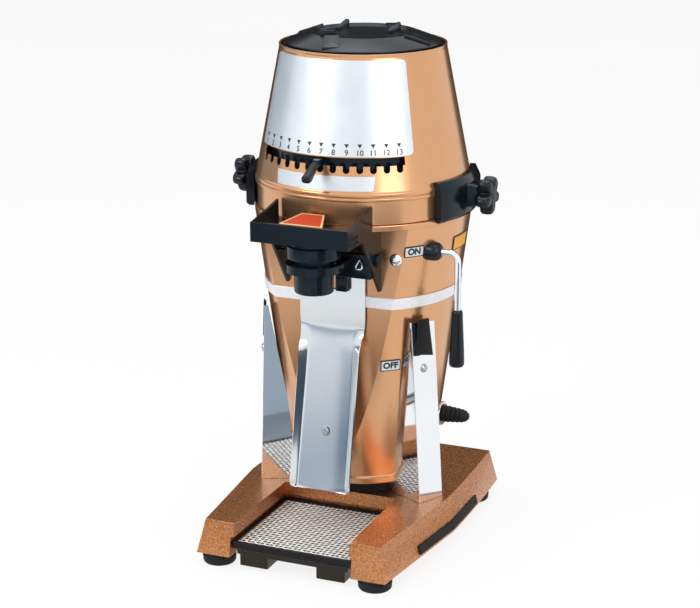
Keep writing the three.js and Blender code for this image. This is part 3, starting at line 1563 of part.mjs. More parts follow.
function leverBushing() {
  const { bushRadius, bushNeck, bushOut, bushRound, y, pivotZ } = lever;
  const length = bushOut - lever.inner;
  const round = revolve([
    [0, 0], [bushNeck, 0], [bushNeck, length - bushRound * 3.6],
    [bushRadius - bushRound / 3, length - bushRound * 3],
    [bushRadius, length - bushRound * 2], [bushRadius - bushRound / 4, length - bushRound],
    [bushRadius - bushRound, length - bushRound / 4], [bushRadius - bushRound * 1.5, length], [0, length],
  ], sides.small).rotate([0, 90, 0]);
  const shape = moved(round, lever.inner, -y, pivotZ);
  const bore = barX(lever.inner - overrun, bushOut + overrun, -y, pivotZ, lever.rodRadius + runGap,
    sides.small);
  return cut(shape, bodyOutside(clearance), bore);
}

function leverRod() {
  const { inner, out, bend, y, pivotZ, rodLength, rodRadius } = lever;
  const ring = (x, z, turn) => {
    const loop = [];
    for (let i = 0; i < sides.small; i++) {
      const angle = (i / sides.small) * 360 * degree;
      const across = rodRadius * Math.cos(angle);
      loop.push(point(x + across * Math.sin(turn), -y + rodRadius * Math.sin(angle),
        z + across * Math.cos(turn)));
    }
    return loop;
  };
  const loops = [ring(inner, pivotZ, 0)];
  const bends = 6;
  for (let i = 0; i <= bends; i++) {
    const turn = (i / bends) * 90 * degree;
    loops.push(ring(out - bend + bend * Math.sin(turn), pivotZ - bend + bend * Math.cos(turn), turn));
  }
  loops.push(ring(out, pivotZ - rodLength, 90 * degree));
  return loft(loops);
}

function leverGrip() {
  const { gripLength, gripTop, gripBottom, gripRound } = lever;
  const round = [];
  for (let i = 0; i <= 3; i++) {
    const turn = (i / 3) * 90 * degree;
    round.push([gripBottom - gripRound + gripRound * Math.sin(turn),
      gripRound - gripRound * Math.cos(turn)]);
  }
  const shape = revolve([
    [0, 0], ...round, [gripTop, gripLength - gripRound / 2], [gripTop - gripRound / 3, gripLength],
    [0, gripLength],
  ], sides.small);
  return moved(shape, lever.out, -lever.y, lever.pivotZ - lever.rodLength - clearance - gripLength);
}

function switchCam() {
  const { camRadius, camThick, camLobe, inner, y, pivotZ } = lever;
  const round = barX(inner, inner + camThick, -y, pivotZ, camRadius, sides.small);
  const lobe = barX(inner, inner + camThick, -y + camLobe, pivotZ + camLobe, camRadius - camLobe / 2,
    sides.small);
  return join(round, lobe);
}

const switchTop = lever.pivotZ - lever.camRadius - lever.camLobe - startSwitch.gap;
piece('lever_bushing', leverBushing(), finish.black);
piece('lever_rod', join(leverRod(), switchCam()), finish.chrome);
piece('lever_grip', leverGrip(), finish.black);
const switchBox = slab(
  lever.inner, lever.inner + startSwitch.length, -lever.y - startSwitch.width / 2,
    -lever.y + startSwitch.width / 2,
  switchTop - startSwitch.height, switchTop,
);
piece('start_switch', switchBox, finish.matte);

// Ribbed sleeve on the lower right side, on its bright collar

function sleeve() {
  const { radius, tip, length, ribs, ribDepth } = gland;
  const profile = [[0, 0], [radius, 0]];
  const pitch = (length - radius) / ribs;
  for (let i = 0; i < ribs; i++) {
    const r = radius - ((radius - tip) * i) / ribs;
    profile.push([r, pitch * (i + 0.6)], [r - ribDepth, pitch * (i + 0.8)], [r, pitch * (i + 1)]);
  }
  for (let i = 1; i < 3; i++) {
    const turn = (i / 3) * 90 * degree;
    profile.push([tip * Math.cos(turn), length - radius + radius * Math.sin(turn)]);
  }
  profile.push([0, length]);
  const x = gland.pad + clearance * 2 + gland.collarThick;
  return moved(revolve(profile, sides.small).rotate([0, 90, 0]), x, 0, body.bottom + gland.z);
}

function glandCollar() {
  const x = gland.pad + clearance;
  return barX(x, x + gland.collarThick, 0, body.bottom + gland.z, gland.collarRadius, sides.part);
}

piece('gland_collar', glandCollar(), finish.chrome);
piece('gland_sleeve', sleeve(), finish.rubber);

export default object;
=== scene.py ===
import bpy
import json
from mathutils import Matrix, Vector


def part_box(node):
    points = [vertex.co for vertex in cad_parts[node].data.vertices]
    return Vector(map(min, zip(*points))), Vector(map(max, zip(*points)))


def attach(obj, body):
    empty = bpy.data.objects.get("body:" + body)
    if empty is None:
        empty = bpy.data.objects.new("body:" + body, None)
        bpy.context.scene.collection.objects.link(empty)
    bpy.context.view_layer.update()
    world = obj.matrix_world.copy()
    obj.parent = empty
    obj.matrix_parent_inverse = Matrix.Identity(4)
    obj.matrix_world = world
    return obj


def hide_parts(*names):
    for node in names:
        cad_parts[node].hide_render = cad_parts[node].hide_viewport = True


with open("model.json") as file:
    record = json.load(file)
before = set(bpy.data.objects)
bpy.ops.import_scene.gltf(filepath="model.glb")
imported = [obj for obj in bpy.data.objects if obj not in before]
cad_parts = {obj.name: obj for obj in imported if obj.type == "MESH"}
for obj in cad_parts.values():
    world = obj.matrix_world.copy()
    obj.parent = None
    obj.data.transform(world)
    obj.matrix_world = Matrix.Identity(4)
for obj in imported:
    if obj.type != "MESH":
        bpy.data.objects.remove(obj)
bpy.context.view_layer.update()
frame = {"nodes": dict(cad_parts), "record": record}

# %% [markdown]
# # A counter coffee grinder, dressed for the camera
# The solids of the grinder come in already packed, each one a named node. This lesson gives
# every visible node a finer surface and a finish made of shader nodes. The sizes below are the
# grinder's own, in millimetres, measured from its upright axis and from the counter. Angles are
# in degrees from the front, and positive to the right.

# %% Units and the main sizes
import json
import math

import bmesh
import bpy
from mathutils import Matrix, Vector

MM = 0.001
AXIS_Y = 50.0  # the grinder axis lies this far behind the middle of the model

HOUSING = {
    "bottom": 78.4, "ledge": 433.9, "top": 440.9, "foot": 94.1, "rim": 142.3, "flat": 99.0, "wall": 2.0}
CONE = {"bottom": 471.5, "start": 483.5, "top": 650.5, "foot": 139.5, "rim": 107.3, "wall": 1.5}


def housing_radius(z):
    """The outer radius of the motor housing at a height."""
    share = (z - HOUSING["bottom"]) / (HOUSING["ledge"] - HOUSING["bottom"])
    return HOUSING["foot"] + (HOUSING["rim"] - HOUSING["foot"]) * share


def cone_radius(z):
    """The outer radius of the hopper's cone at a height."""
    return CONE["foot"] + (CONE["rim"] - CONE["foot"]) * (z - CONE["start"]) / (CONE["top"] - CONE["start"])


body_of = {
    node: body for body, nodes in frame["record"]["behaviour"]["bodies"].items() for node in nodes}
print("cone radius at the dial:", round(cone_radius(520), 1))

# %% [markdown]
# ## Camera
# The photograph was taken from the front right, a little above the hopper, with a long lens.
# The lens and the place were solved from the round rims and the dial, so the camera is simply
# put there: turned about the upright, tipped down, and rolled by a fraction of a degree.

# %% Camera
SENSOR_WIDTH, FOCAL_LENGTH, FAR_CLIP = 36.0, 100.44, 100.0
CAMERA_X, CAMERA_Y, CAMERA_Z = 0.96562, -2.30720, 1.04148  # metres from the foot of the axis
TURN, TIP, ROLL = 23.12, 16.55, -0.15  # degrees


def placed(name, data):
    """A new object in the scene."""
    made = bpy.data.objects.new(name, data)
    bpy.context.scene.collection.objects.link(made)
    return made


lens = bpy.data.cameras.new("camera")
lens.sensor_width = SENSOR_WIDTH
lens.lens = FOCAL_LENGTH
lens.clip_end = FAR_CLIP
camera = placed("camera", lens)
camera.matrix_world = (
    Matrix.Translation((CAMERA_X, CAMERA_Y + AXIS_Y * MM, CAMERA_Z))
    @ Matrix.Rotation(math.radians(TURN), 4, "Z")
    @ Matrix.Rotation(math.radians(90 - TIP), 4, "X")
    @ Matrix.Rotation(math.radians(ROLL), 4, "Z"))
bpy.context.scene.camera = camera
bpy.context.scene.view_settings.view_transform = "Standard"
print("camera stands", round(camera.location.length, 2), "m from the grinder")

# %% [markdown]
# ## A way to write shaders
# A finish is a tree of nodes. Written node by node it hides its idea, so a small class wraps a
# socket and lets masks be added, multiplied and subtracted like numbers. Every other node comes
# from one method: its type, its settings, and what goes into its sockets.

# %% A socket that works like a number
class Signal:
    """A shader socket that can stand in a sum."""

    def __init__(self, finish, socket):
        self.finish = finish
        self.socket = socket

    def _math(self, operation, *terms):
        return self.finish.node("ShaderNodeMath", {"operation": operation}, dict(enumerate(terms)))

    def __add__(self, other):
        return self._math("ADD", self, other)

    def __radd__(self, other):
        return self._math("ADD", other, self)

    def __sub__(self, other):
        return self._math("SUBTRACT", self, other)

    def __rsub__(self, other):
        return self._math("SUBTRACT", other, self)

    def __mul__(self, other):
        return self._math("MULTIPLY", self, other)

    def __rmul__(self, other):
        return self._math("MULTIPLY", other, self)


print("reflected forms of a signal:", ", ".join(name for name in vars(Signal) if name.startswith("__r")))

# %% Trees and finishes
class Tree:
    """A node tree that is written from its type, settings and sockets."""

    def __init__(self, owner):
        owner.use_nodes = True
        self.tree = owner.node_tree
        self.tree.nodes.clear()

    def node(self, kind, settings=None, sockets=None, output=0):
        """Adds a node and gives back one of its outputs, or the node itself for None."""
        made = self.tree.nodes.new(kind)
        for key, value in (settings or {}).items():
            if key == "stops":
                ramp = made.color_ramp.elements
                while len(ramp) < len(value):
                    ramp.new(0.5)
                for element, (place, colour) in zip(ramp, value):
                    element.position = place
                    element.color = (*colour, 1.0)
            else:
                setattr(made, key, value)
        for key, value in (sockets or {}).items():
            if isinstance(value, Signal):
                self.tree.links.new(value.socket, made.inputs[key])
            else:
                made.inputs[key].default_value = value
        return made if output is None else Signal(self, made.outputs[output])

    def seen(self):
        """One for rays from the camera, off a mirror or through glass, and zero for plain light."""
        camera_ray, mirror_ray, glass_ray = (
            self.node("ShaderNodeLightPath", output=f"Is {kind} Ray")
            for kind in ("Camera", "Glossy", "Transmission"))
        return camera_ray + mirror_ray + glass_ray


class Finish(Tree):
    """A material with one Principled shader, built from expressions."""

    def __init__(self, name, **constants):
        self.material = bpy.data.materials.new(name)
        super().__init__(self.material)
        sockets = {key.replace("_", " "): value for key, value in constants.items()}
        self.shader = self.node("ShaderNodeBsdfPrincipled", {}, sockets)
        self.end = self.node("ShaderNodeOutputMaterial", {}, {"Surface": self.shader}, None)

    def feed(self, **signals):
        """Links signals to the shader's sockets by name."""
        principled = self.shader.socket.node
        for socket, value in signals.items():
            self.tree.links.new(value.socket, principled.inputs[socket.replace("_", " ")])

    def place(self, stretch=(1, 1, 1)):
        """Where a point lies on its piece, stretched if the pattern is to be long."""
        here = self.node("ShaderNodeTexCoord", output="Object")
        return self.node("ShaderNodeMapping", {}, {"Vector": here, "Scale": stretch})

    def noise(self, scale, detail=2.0, stretch=(1, 1, 1), rough=0.5):
        return self.node("ShaderNodeTexNoise", {}, {
            "Vector": self.place(stretch), "Scale": scale, "Detail": detail, "Roughness": rough}, "Fac")

    def ramp(self, mask, *stops):
        return self.node("ShaderNodeValToRGB", {"stops": stops}, {"Fac": mask}, "Color")

    def blend(self, mask, dark, light, spread=0.2):
        """Two colours that change into each other over the middle of a mask's range."""
        return self.ramp(mask, (0.5 - spread, dark), (0.5 + spread, light))

    def grey(self, mask, low, high):
        return self.node("ShaderNodeMapRange", {}, {"Value": mask, "To Min": low, "To Max": high})

    def bump(self, height, strength, distance):
        return self.node("ShaderNodeBump", {}, {
            "Height": height, "Strength": strength, "Distance": distance}, "Normal")


print("a finish can:", ", ".join(name for name in vars(Finish) if not name.startswith("_")))

# %% [markdown]
# ## Copper finishes
# The shell is spun metal under a satin copper lacquer: smooth, warm, with a faint upward grain
# and a clear coat that keeps the reflections soft. The base is cast and sprayed with hammertone
# lacquer, which flows into small cells with raised rims, so its bump comes from a cell texture
# mixed with noise, and its colour darkens towards the rims.

# %% Copper lacquer and hammertone
shell_copper = Finish("shell_copper", Metallic=0.86, Coat_Weight=0.25, Coat_Roughness=0.08)
cloud = shell_copper.noise(6.0, 3.0)
grain = shell_copper.noise(240.0, 2.0, (1, 1, 0.06))
shell_copper.feed(
    Base_Color=shell_copper.blend(cloud * 0.8 + grain * 0.2, (0.68, 0.35, 0.172), (0.75, 0.405, 0.207)),
    Roughness=shell_copper.grey(grain * 0.6 + cloud * 0.4, 0.2, 0.28))

hammertone = Finish("hammertone", Metallic=0.95, Coat_Weight=0.3, Coat_Roughness=0.1)
cells = hammertone.node("ShaderNodeTexVoronoi", {"feature": "SMOOTH_F1"}, {
    "Vector": hammertone.place(), "Scale": 420.0, "Smoothness": 0.6, "Randomness": 1.0}, "Distance")
flow = hammertone.noise(520.0, 3.0, rough=0.65)
pits = cells * 0.45 + flow * 0.75
hammertone.feed(
    Base_Color=hammertone.ramp(
        pits, (0.3, (0.82, 0.38, 0.16)), (0.55, (0.68, 0.29, 0.115)), (0.75, (0.47, 0.185, 0.07))),
    Roughness=hammertone.grey(flow, 0.2, 0.36),
    Normal=hammertone.bump(pits, 0.7, 0.001))
print("copper finishes:", shell_copper.material.name, hammertone.material.name)

# %% [markdown]
# ## Bright metals
# The legs, the lever's rod and the wire link are polished chrome: almost a mirror, with a breath
# of unevenness in the polish. The chute is a shade duller. The trim band is brushed, so its grain
# runs round the housing, and machined pieces show turning marks. All of them follow one recipe, a
# noise that sets colour, roughness and sometimes relief, so one function makes them.

# %% Chrome, chute steel, brushed band, machined steel and wire
def metal(name, metallic, dark, light, rough, scale,
          detail=2.0, stretch=(1, 1, 1), spread=0.2, relief=None):
    """A metal that wanders between two colours and two roughnesses. Relief is strength and depth."""
    made = Finish(name, Metallic=metallic)
    polish = made.noise(scale, detail, stretch)
    made.feed(Base_Color=made.blend(polish, dark, light, spread), Roughness=made.grey(polish, *rough))
    if relief:
        made.feed(Normal=made.bump(polish, *relief))
    return made


chrome = metal(
    "chrome", 1.0, (0.84, 0.87, 0.90), (0.91, 0.93, 0.95), rough=(0.03, 0.07), scale=14.0)
trough = metal(
    "chute_steel", 1.0, (0.715, 0.75, 0.775), (0.74, 0.77, 0.795), rough=(0.11, 0.125), scale=30.0)
brushed = metal(
    "brushed_band", 0.35, (0.78, 0.79, 0.83), (0.96, 0.96, 0.98), rough=(0.35, 0.55), scale=900.0,
    detail=3.0, stretch=(0.15, 0.15, 1.0), spread=0.25, relief=(0.12, 0.0004))
machined = metal(
    "machined_steel", 1.0, (0.42, 0.43, 0.45), (0.62, 0.63, 0.65), rough=(0.25, 0.42), scale=600.0,
    stretch=(0.2, 0.2, 1.0), relief=(0.1, 0.0003))
wire = metal(
    "tinned_wire", 0.35, (0.92, 0.91, 0.87), (0.99, 0.99, 0.97), rough=(0.25, 0.45), scale=700.0)
metals = (chrome, trough, brushed, machined, wire)
print("bright metals:", ", ".join(made.material.name for made in metals))

# %% [markdown]
# ## Dark plastics, rubber and plates
# Moulded black parts carry a fine spark texture that breaks up the highlight; enamelled castings
# are smoother with slight waves; rubber is dull. The plates are satin sheet with ink on them.
# All share one recipe too: a fine texture for the surface and a broad wave for the colour.

# %% Plastics, enamel, rubber, plates
def moulded(name, dark, light, rough, scale, strength, **constants):
    """A finish with a fine surface texture under a slow change of colour."""
    made = Finish(name, **constants)
    texture = made.noise(scale, 3.0)
    wave = made.noise(25.0, 2.0)
    made.feed(Base_Color=made.blend(texture * 0.4 + wave * 0.6, dark, light),
              Roughness=made.grey(texture, *rough), Normal=made.bump(texture, strength, 0.0004))
    return made


# The blue specular tint of the enamel and the black plastic paints a bluish reflection onto them.
enamel = moulded(
    "black_enamel", (0.004, 0.006, 0.009), (0.008, 0.011, 0.015), rough=(0.14, 0.22), scale=500.0,
    strength=0.03, Specular_IOR_Level=0.3, Specular_Tint=(0.62, 0.86, 1.0, 1.0))
plastic = moulded(
    "black_plastic", (0.004, 0.005, 0.007), (0.008, 0.010, 0.013), rough=(0.2, 0.3), scale=900.0,
    strength=0.05, Specular_IOR_Level=0.36, Specular_Tint=(0.75, 0.9, 1.0, 1.0))
matte = moulded(
    "matte_black", (0.004, 0.004, 0.005), (0.008, 0.008, 0.009), rough=(0.45, 0.6), scale=700.0,
    strength=0.12, Specular_IOR_Level=0.25)
rubber = moulded(
    "black_rubber", (0.005, 0.006, 0.007), (0.010, 0.011, 0.012), rough=(0.5, 0.65), scale=420.0,
    strength=0.15, Specular_IOR_Level=0.25)
smoke = moulded(
    "smoky_plastic", (0.030, 0.023, 0.016), (0.05, 0.037, 0.025), rough=(0.1, 0.18), scale=300.0,
    strength=0.03, Transmission_Weight=0.5, IOR=1.3)
ink = moulded(
    "black_ink", (0.010, 0.010, 0.012), (0.018, 0.018, 0.020), rough=(0.5, 0.6), scale=600.0,
    strength=0.02)
silver = moulded(
    "silver_plate", (0.66, 0.72, 0.77), (0.76, 0.81, 0.85), rough=(0.3, 0.36), scale=800.0,
    strength=0.03, Metallic=0.7)
yellow = moulded(
    "yellow_plate", (0.82, 0.36, 0.02), (0.88, 0.42, 0.03), rough=(0.35, 0.45), scale=500.0,
    strength=0.04)
signal_red = moulded(
    "orange_red_plate", (0.52, 0.036, 0.010), (0.62, 0.066, 0.017), rough=(0.5, 0.6), scale=500.0,
    strength=0.04, Specular_IOR_Level=0.3)
gilt = moulded(
    "pale_gold_edge", (0.86, 0.52, 0.20), (0.92, 0.60, 0.27), rough=(0.3, 0.4), scale=500.0,
    strength=0.04)
core = moulded(
    "stator_core", (0.10, 0.045, 0.022), (0.16, 0.075, 0.04), rough=(0.4, 0.6), scale=300.0,
    strength=0.2, Metallic=0.5)

finish_of = {
    "hammered_copper": hammertone, "copper_shell": shell_copper, "chrome": chrome, "brushed": brushed,
    "steel": machined, "stator_core": core, "black_cast": enamel, "black_plastic": plastic,
    "matte_black": matte, "smoke_plastic": smoke, "rubber": rubber, "silver_plate": silver,
    "yellow_plate": yellow, "orange_plate": signal_red}
print("slots with a finish:", len(finish_of))

# %% [markdown]
# ## Meshes from rows of points
# Nearly every piece here is spun, swept or pressed. Blender has a modifier for each of these,
# but one grid of points with its rows joined up serves them all and puts every point where it is
# meant. One function joins the rows, one rounds the corners of a section the way a real edge is
# rounded, and one puts the finished mesh on its body with its finish.

# %% Faces and soft corners
def joined(rows, columns, wrap_rows=False, wrap_columns=True):
    """The faces between rows of points, each row with as many columns."""
    faces = []
    for i in range(rows if wrap_rows else rows - 1):
        for j in range(columns if wrap_columns else columns - 1):
            here, there = i * columns, (i + 1) % rows * columns
            beside = (j + 1) % columns
            faces.append((here + j, here + beside, there + beside, there + j))
    return faces


def bar(rows, columns, start=0):
    """The faces of a closed bar: its rows joined up, with a cap at either end."""
    last = (rows - 1) * columns
    caps = [tuple(range(columns))[::-1], tuple(range(last, last + columns))]
    return [tuple(start + i for i in face) for face in joined(rows, columns) + caps]


def rectangle(left, right, near, far):
    """Four corners, in order."""
    return [(left, near), (right, near), (right, far), (left, far)]


def soften(corners, fillet, steps=3, corners_everywhere=False):
    """A closed section with each corner rounded, but for those on the axis unless asked."""
    points = []
    count = len(corners)
    for i, corner in enumerate(corners):
        here = Vector(corner)
        before = Vector(corners[i - 1]) - here
        after = Vector(corners[(i + 1) % count]) - here
        reach = min(fillet, 0.45 * before.length, 0.45 * after.length)
        if (corner[0] <= 0 and not corners_everywhere) or reach < 0.02:
            points.append(here)
            continue
        start, end = here + before.normalized() * reach, here + after.normalized() * reach
        for k in range(steps + 1):
            t = k / steps
            points.append(start * (1 - t) ** 2 + here * 2 * t * (1 - t) + end * t ** 2)
    return points


print("a softened rectangle has", len(soften(rectangle(1, 9, 0, 4), 1.0)), "points")

# %% From points to a piece on its body
MERGE = 0.000001  # metres: nearer points become one
slot_of = {node: solid.data.materials[0].name.split(".")[0] for node, solid in frame["nodes"].items()}


def metres(place):
    """A place about the grinder axis in millimetres, as the model has it."""
    x, y, z = place
    return (x * MM, (y + AXIS_Y) * MM, z * MM)


def shaded(piece, crease=38.0):
    """Smooth all over, but for edges that fold by more than the crease, in degrees."""
    piece.data.polygons.foreach_set("use_smooth", [True] * len(piece.data.polygons))
    piece.data.set_sharp_from_angle(angle=math.radians(crease))
    return piece


def make(name, points, faces, crease=38.0):
    """A closed smooth mesh from points in millimetres about the grinder axis."""
    mesh = bpy.data.meshes.new(name)
    mesh.from_pydata([metres(point) for point in points], [], faces)
    work = bmesh.new()
    work.from_mesh(mesh)
    bmesh.ops.remove_doubles(work, verts=work.verts, dist=MERGE)
    bmesh.ops.dissolve_degenerate(work, edges=work.edges, dist=MERGE)
    bmesh.ops.recalc_face_normals(work, faces=work.faces)
    work.to_mesh(mesh)
    work.free()
    return shaded(placed(name, mesh), crease)


def settle(piece, node, finish=None, replaces=True):
    """Gives a piece its finish and lets it move with the body of the node it belongs to."""
    chosen = finish or finish_of[slot_of[node]]
    piece.data.materials.clear()
    piece.data.materials.append(chosen.material)
    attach(piece, body_of[node])
    if replaces:
        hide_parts(node)


print("slots with nodes:", len(set(slot_of.values())), "nodes with a slot:", len(slot_of))

# %% [markdown]
# ## Finer copies of folded and cast pieces
# The frame, tray, shelf and brackets already have the right faces. What a plain solid lacks
# is its edge: pressed and cast parts have a small radius that catches a line of light. A copy of
# the node's mesh is cleaned of flat triangles and its sharp edges are rounded. The rounding
# would make the wide faces look bulged, so their normals are weighted by area at the end.

# %% Rounded copies
ROUNDING_STEPS = 3
SHARP_FOLD, FLAT_FOLD = 32.0, 0.6  # degrees: a fold that gets rounded, and one that is no fold at all


def baked(piece):
    """The mesh of an object with its modifiers, or its letters, worked out."""
    bpy.context.view_layer.update()
    return bpy.data.meshes.new_from_object(piece.evaluated_get(bpy.context.evaluated_depsgraph_get()))


def applied(piece):
    """Works a piece's modifiers into its mesh."""
    mesh = baked(piece)
    mesh.name = piece.name
    piece.modifiers.clear()
    piece.data = mesh
    return piece


def evened(piece):
    """Keeps the wide faces flat in the light, whatever rounding lies beside them."""
    even = piece.modifiers.new("even", "WEIGHTED_NORMAL")
    even.keep_sharp = True
    return applied(piece)


def fine_copy(node, name, edge, finish=None):
    """The node's own mesh under a new name, with its sharp folds rounded."""
    mesh = frame["nodes"][node].data.copy()
    mesh.name = name
    work = bmesh.new()
    work.from_mesh(mesh)
    bmesh.ops.remove_doubles(work, verts=work.verts, dist=5 * MERGE)
    bmesh.ops.dissolve_limit(work, angle_limit=math.radians(FLAT_FOLD), verts=work.verts, edges=work.edges)
    work.to_mesh(mesh)
    work.free()
    piece = shaded(placed(name, mesh))
    rounding = piece.modifiers.new("rounding", "BEVEL")
    rounding.width = edge * MM
    rounding.segments = ROUNDING_STEPS
    rounding.limit_method = "ANGLE"
    rounding.angle_limit = math.radians(SHARP_FOLD)
    rounding.use_clamp_overlap = True
    settle(evened(piece), node, finish)


for node, name, edge, *finish in (
        ("base_frame", "base_casting", 1.6), ("tray_frame", "grille_frame", 0.9, matte),
        ("chaff_tray", "chaff_drawer", 0.8), ("side_grip_left", "side_strip_left", 0.5),
        ("side_grip_right", "side_strip_right", 0.5), ("chute_standoff", "chute_post", 0.5),
        ("chute_screw", "chute_fixing", 0.5), ("clamp_housing", "clamp_shelf", 1.3),
        ("spout_collar", "spout_ring", 1.0), ("spout_tube", "spout_sleeve", 0.5),
        ("clamp_yoke", "bag_yoke", 0.8), ("clamp_pin", "yoke_pin", 0.5),
        ("mill_ring", "mill_collar", 0.8), ("grind_lever", "dial_handle", 1.2),
        ("adjusting_ring", "dial_skirt", 0.5), ("gland_collar", "cord_collar", 0.4),
        ("gland_sleeve", "cord_sleeve", 0.5)):
    fine_copy(node, name, edge, *finish)

# %% [markdown]
# ## Motor housing
# The housing is one spun shell that widens upwards, pressed flat at the front where the chute
# hangs. A plain spin can't have that flat. Each height gets its own ring of points instead, round
# behind and straight in front, with a point exactly on the fold so that its line stays crisp.

# %% Housing rings
FLAT_COLUMNS, ROUND_COLUMNS = 13, 150
LEAST_FOLD = math.radians(3.0)  # a ring without a flat still gives those columns this much
ROUND = 400.0  # a flat this far out leaves the ring round


def housing_ring(z, radius, flat):
    """One level of the shell: straight across the front, round behind."""
    fold = max(math.acos(min(1.0, flat / radius)), LEAST_FOLD)
    angles = [-fold + 2 * fold * k / (FLAT_COLUMNS - 1) for k in range(FLAT_COLUMNS)]
    angles += [fold + (2 * math.pi - 2 * fold) * k / ROUND_COLUMNS for k in range(1, ROUND_COLUMNS)]
    ring = []
    for k, a in enumerate(angles):
        r = flat / math.cos(a) if k < FLAT_COLUMNS and flat < radius else radius
        ring.append((r * math.sin(a), -r * math.cos(a), z))
    return ring


def housing_shell(name, levels):
    """A shell from its levels, each a height, a radius and how far out the flat lies."""
    points = [point for level in levels for point in housing_ring(*level)]
    faces = joined(len(levels), FLAT_COLUMNS + ROUND_COLUMNS - 1, wrap_rows=True)
    return make(name, points, faces, crease=9.0)


print("points in a ring:", len(housing_ring(HOUSING["bottom"], HOUSING["foot"], ROUND)))

# %% Housing shell and trim band
ledge, top, rim, flat, wall = (HOUSING[key] for key in ("ledge", "top", "rim", "flat", "wall"))
bead = [(0.0, 90.0), (0.0, 95.6), (0.6, 96.7), (2.0, 97.3), (8.2, 97.3), (9.8, 96.9), (10.8, 96.2)]
levels = [(HOUSING["bottom"] + rise, radius, ROUND) for rise, radius in bead]
levels += [(89.6, housing_radius(89.6) + 0.2, ROUND)]
levels += [(z, housing_radius(z), flat) for z in (91.0 + k * 12.2 for k in range(28))]
levels += [(431.0, housing_radius(431.0), flat), (ledge - 0.4, rim - 0.05, flat)]
levels += [(ledge, rim, flat + 0.5), (ledge + 0.1, rim, ROUND), (top - 1.0, rim, ROUND)]
levels += [(top - 0.3, rim - 0.3, ROUND), (top, rim - 1.0, ROUND)]
levels += [(top, rim - 5.0, ROUND), (ledge + 1.0, rim - 5.0, ROUND)]
levels += [(z, housing_radius(z) - wall, flat - wall) for z in (433.0 - k * 17.0 for k in range(21))]
settle(housing_shell("housing_shell", levels), "motor_housing")

band = [(326.4, 0.3), (326.4, 1.2), (327.2, 1.8), (340.6, 1.8), (341.4, 1.2), (341.4, 0.3)]
band_levels = [(z, housing_radius(z) + out, flat + out) for z, out in band]
settle(housing_shell("trim_band_ring", band_levels), "trim_band")
print("housing rows:", len(levels), "band rows:", len(band_levels))

# %% [markdown]
# ## Spun rings
# Pedestal, feet and funnel come off a lathe or out of a round mould, so each is a section spun
# round an upright line. Their sections are closed and run right round the wall, which gives the
# pieces a true thickness.

# %% Pedestal, feet and funnel
def lathe(name, section, sides=144, centre=(0.0, 0.0), crease=38.0):
    """A section of (radius, height) points spun about an upright line."""
    angles = [2 * math.pi * k / sides for k in range(sides)]
    points = [(centre[0] + r * math.sin(a), centre[1] - r * math.cos(a), z)
              for r, z in section for a in angles]
    return make(name, points, joined(len(section), sides, wrap_rows=True), crease)


PEDESTAL = {"hole": 70.0, "outside": 84.0, "low": 61.6, "high": 78.1}
settle(lathe("pedestal_collar", soften(rectangle(*PEDESTAL.values()), 1.0)), "pedestal_ring")
for node in ("foot_front_left", "foot_front_right", "foot_rear_left", "foot_rear_right"):
    low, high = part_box(node)
    middle = ((low.x + high.x) / 2 / MM, (low.y + high.y) / 2 / MM - AXIS_Y)
    radius, groove, top = 22.0, 20.6, high.z / MM
    foot = [(0, 0), (radius - 2.5, 0), (radius - 0.6, 2.4), (radius, top - 5), (groove, top - 4.2),
            (groove, top - 2.8), (radius, top - 2), (radius, top), (0, top)]
    settle(lathe(node + "_rubber", soften(foot, 0.8), sides=64, centre=middle), node)

inlet = [(97.0, 646.5), (34, 554.5), (34, 536.5), (31.5, 536.5),
         (31.5, 557.0), (92.0, 649.0), (103.4, 649.0), (103.4, 646.5)]
settle(lathe("bean_funnel", soften(inlet, 1.0)), "hopper_funnel")
print("a foot is", round(top, 1), "mm high")

# %% [markdown]
# ## Hopper and its dial window
# The hopper is a spun copper cone with a rolled foot of two beads and a turned lip. Its front has
# a long window for the grind dial, and thirteen round-bottomed notches below it. The cone is spun
# first. Then a cutter for the window and one for each notch are taken away from it, as a punch
# would do, because a hole through a curved wall is hard to build into the rows themselves.

# %% Cone
def turned(angle, radius, z):
    """A point at an angle from the front."""
    a = math.radians(angle)
    return (radius * math.sin(a), -radius * math.cos(a), z)


bottom, bead_radius, groove = CONE["bottom"], 141.6, 140.5
section = [
    (134.0, bottom), (bead_radius, bottom), (bead_radius, bottom + 3.7), (groove, bottom + 4.4),
    (groove, bottom + 4.9), (bead_radius, bottom + 5.7), (bead_radius, bottom + 9.7),
    (139.6, CONE["start"]), (cone_radius(560), 560.0),
    (cone_radius(646.0), 646.0), (108.3, 647.4), (108.5, 650.3), (107.2, CONE["top"]),
    (cone_radius(650.0) - CONE["wall"], 650.0), (CONE["foot"] - CONE["wall"], 483.2), (134.0, 481.5)]
hopper = lathe("hopper_shell", soften(section, 0.7), sides=240)
print("cone rows:", len(section), "faces:", len(hopper.data.polygons))

# %% Window and notches
DIAL_MIDDLE, DIAL_PITCH, DIAL_STEPS = -1.0, 7.27, 13
WINDOW = {"low": 515.0, "high": 525.5, "span": 46.8, "notch": 506.0, "half": 4.3}
CUT = {"low": 128.6, "high": 124.5, "notch": 126.0, "outside": 150.0}  # the reach of the cutters
dial_angles = [DIAL_MIDDLE + DIAL_PITCH * (k - DIAL_STEPS // 2) for k in range(DIAL_STEPS)]


def window_cutter(steps=48):
    """A bent bar through the wall, as long as the window."""
    points = []
    for k in range(steps + 1):
        angle = DIAL_MIDDLE - WINDOW["span"] + 2 * WINDOW["span"] * k / steps
        points += [
            turned(angle, CUT["low"], WINDOW["low"]), turned(angle, CUT["outside"], WINDOW["low"]),
            turned(angle, CUT["outside"], WINDOW["high"]), turned(angle, CUT["high"], WINDOW["high"])]
    return make("window_cutter", points, bar(steps + 1, 4))


